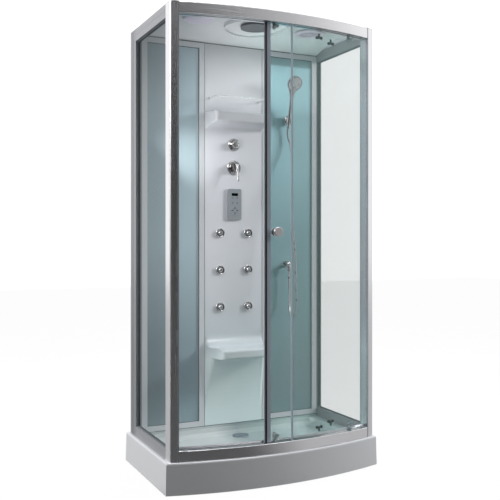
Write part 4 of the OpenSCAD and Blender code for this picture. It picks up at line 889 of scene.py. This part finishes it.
def seen_rays(add, rays):
    """One for rays from the camera, also those that pass through glass."""
    kinds = {0: rays["Is Camera Ray"], 1: rays["Is Transmission Ray"]}
    return add("ShaderNodeMath", kinds, operation="MAXIMUM").outputs[0]


def make_floor():
    """A pale floor that is white where it is seen, and keeps the object's shadow."""
    corners = [(-FLOOR_HALF, -FLOOR_HALF, 0), (FLOOR_HALF, -FLOOR_HALF, 0), (FLOOR_HALF, FLOOR_HALF, 0),
               (-FLOOR_HALF, FLOOR_HALF, 0)]
    floor = new_object("floor", corners, [[0, 1, 2, 3]], None, smooth=False)
    g = Graph("studio_floor")
    rays = g.add("ShaderNodeLightPath").outputs
    seen = seen_rays(g.add, rays)
    way = g.add("ShaderNodeVectorMath", {0: g.add("ShaderNodeNewGeometry").outputs["Position"]},
                operation="NORMALIZE").outputs["Vector"]
    patch = {0: rays["Is Glossy Ray"], 1: dark_front(g.add, way, *FLOOR_PATCH)}
    gloss = g.add("ShaderNodeMath", patch, operation="MULTIPLY").outputs[0]
    share = g.add("ShaderNodeMath", {0: seen, 1: gloss}, operation="MAXIMUM").outputs[0]
    share = g.add("ShaderNodeMath", {0: share, 1: FLOOR_GLOW}, operation="MULTIPLY").outputs[0]
    tones = {"Value": seen, "To Min": FLOOR_TONES[0], "To Max": FLOOR_TONES[1]}
    tone = g.add("ShaderNodeMapRange", tones).outputs["Result"]
    diffuse = g.add("ShaderNodeBsdfDiffuse", {"Color": tone})
    glow = g.add("ShaderNodeEmission", {"Color": WHITE, "Strength": 1.0})
    mix = g.add("ShaderNodeMixShader", {"Fac": share, 1: diffuse.outputs[0], 2: glow.outputs[0]})
    g.tree.links.new(mix.outputs[0], g.output.inputs["Surface"])
    floor.data.materials.clear()
    floor.data.materials.append(g.material)


def make_world():
    """White where it is seen and all round, but dark in front for light and gloss."""
    world = bpy.data.worlds.new("studio")
    scene.world = world
    world.use_nodes = True
    tree = world.node_tree
    tree.nodes.clear()

    def add(kind, inputs=None, **settings):
        return add_node(tree, kind, inputs, **settings)

    rays = add("ShaderNodeLightPath").outputs
    way = add("ShaderNodeTexCoord").outputs["Generated"]
    patch = dark_front(add, way, *SKY_PATCH)
    level = add("ShaderNodeMath", {0: seen_rays(add, rays), 1: patch}, operation="MAXIMUM").outputs[0]
    for centre, half_angle, bright in WINDOWS:
        softbox = {0: window(add, way, centre, half_angle, bright), 1: rays["Is Glossy Ray"]}
        extra = add("ShaderNodeMath", softbox, operation="MULTIPLY").outputs[0]
        level = add("ShaderNodeMath", {0: level, 1: extra}, operation="ADD").outputs[0]
    sky = add("ShaderNodeBackground", {"Color": WHITE, "Strength": level})
    tree.links.new(sky.outputs["Background"], add("ShaderNodeOutputWorld").inputs["Surface"])


def area_lamp(name, place, target, size, power):
    """A soft lamp that neither the camera nor a reflection shows."""
    data = bpy.data.lights.new(name, "AREA")
    data.shape = "RECTANGLE"
    data.size, data.size_y = size
    data.energy = power
    lamp = bpy.data.objects.new(name, data)
    lamp.location = place
    lamp.rotation_euler = (Vector(target) - Vector(place)).to_track_quat("-Z", "Y").to_euler()
    lamp.visible_camera = False
    lamp.visible_glossy = False
    scene.collection.objects.link(lamp)


make_floor()
make_world()
for lamp in LAMPS:
    area_lamp(*lamp)
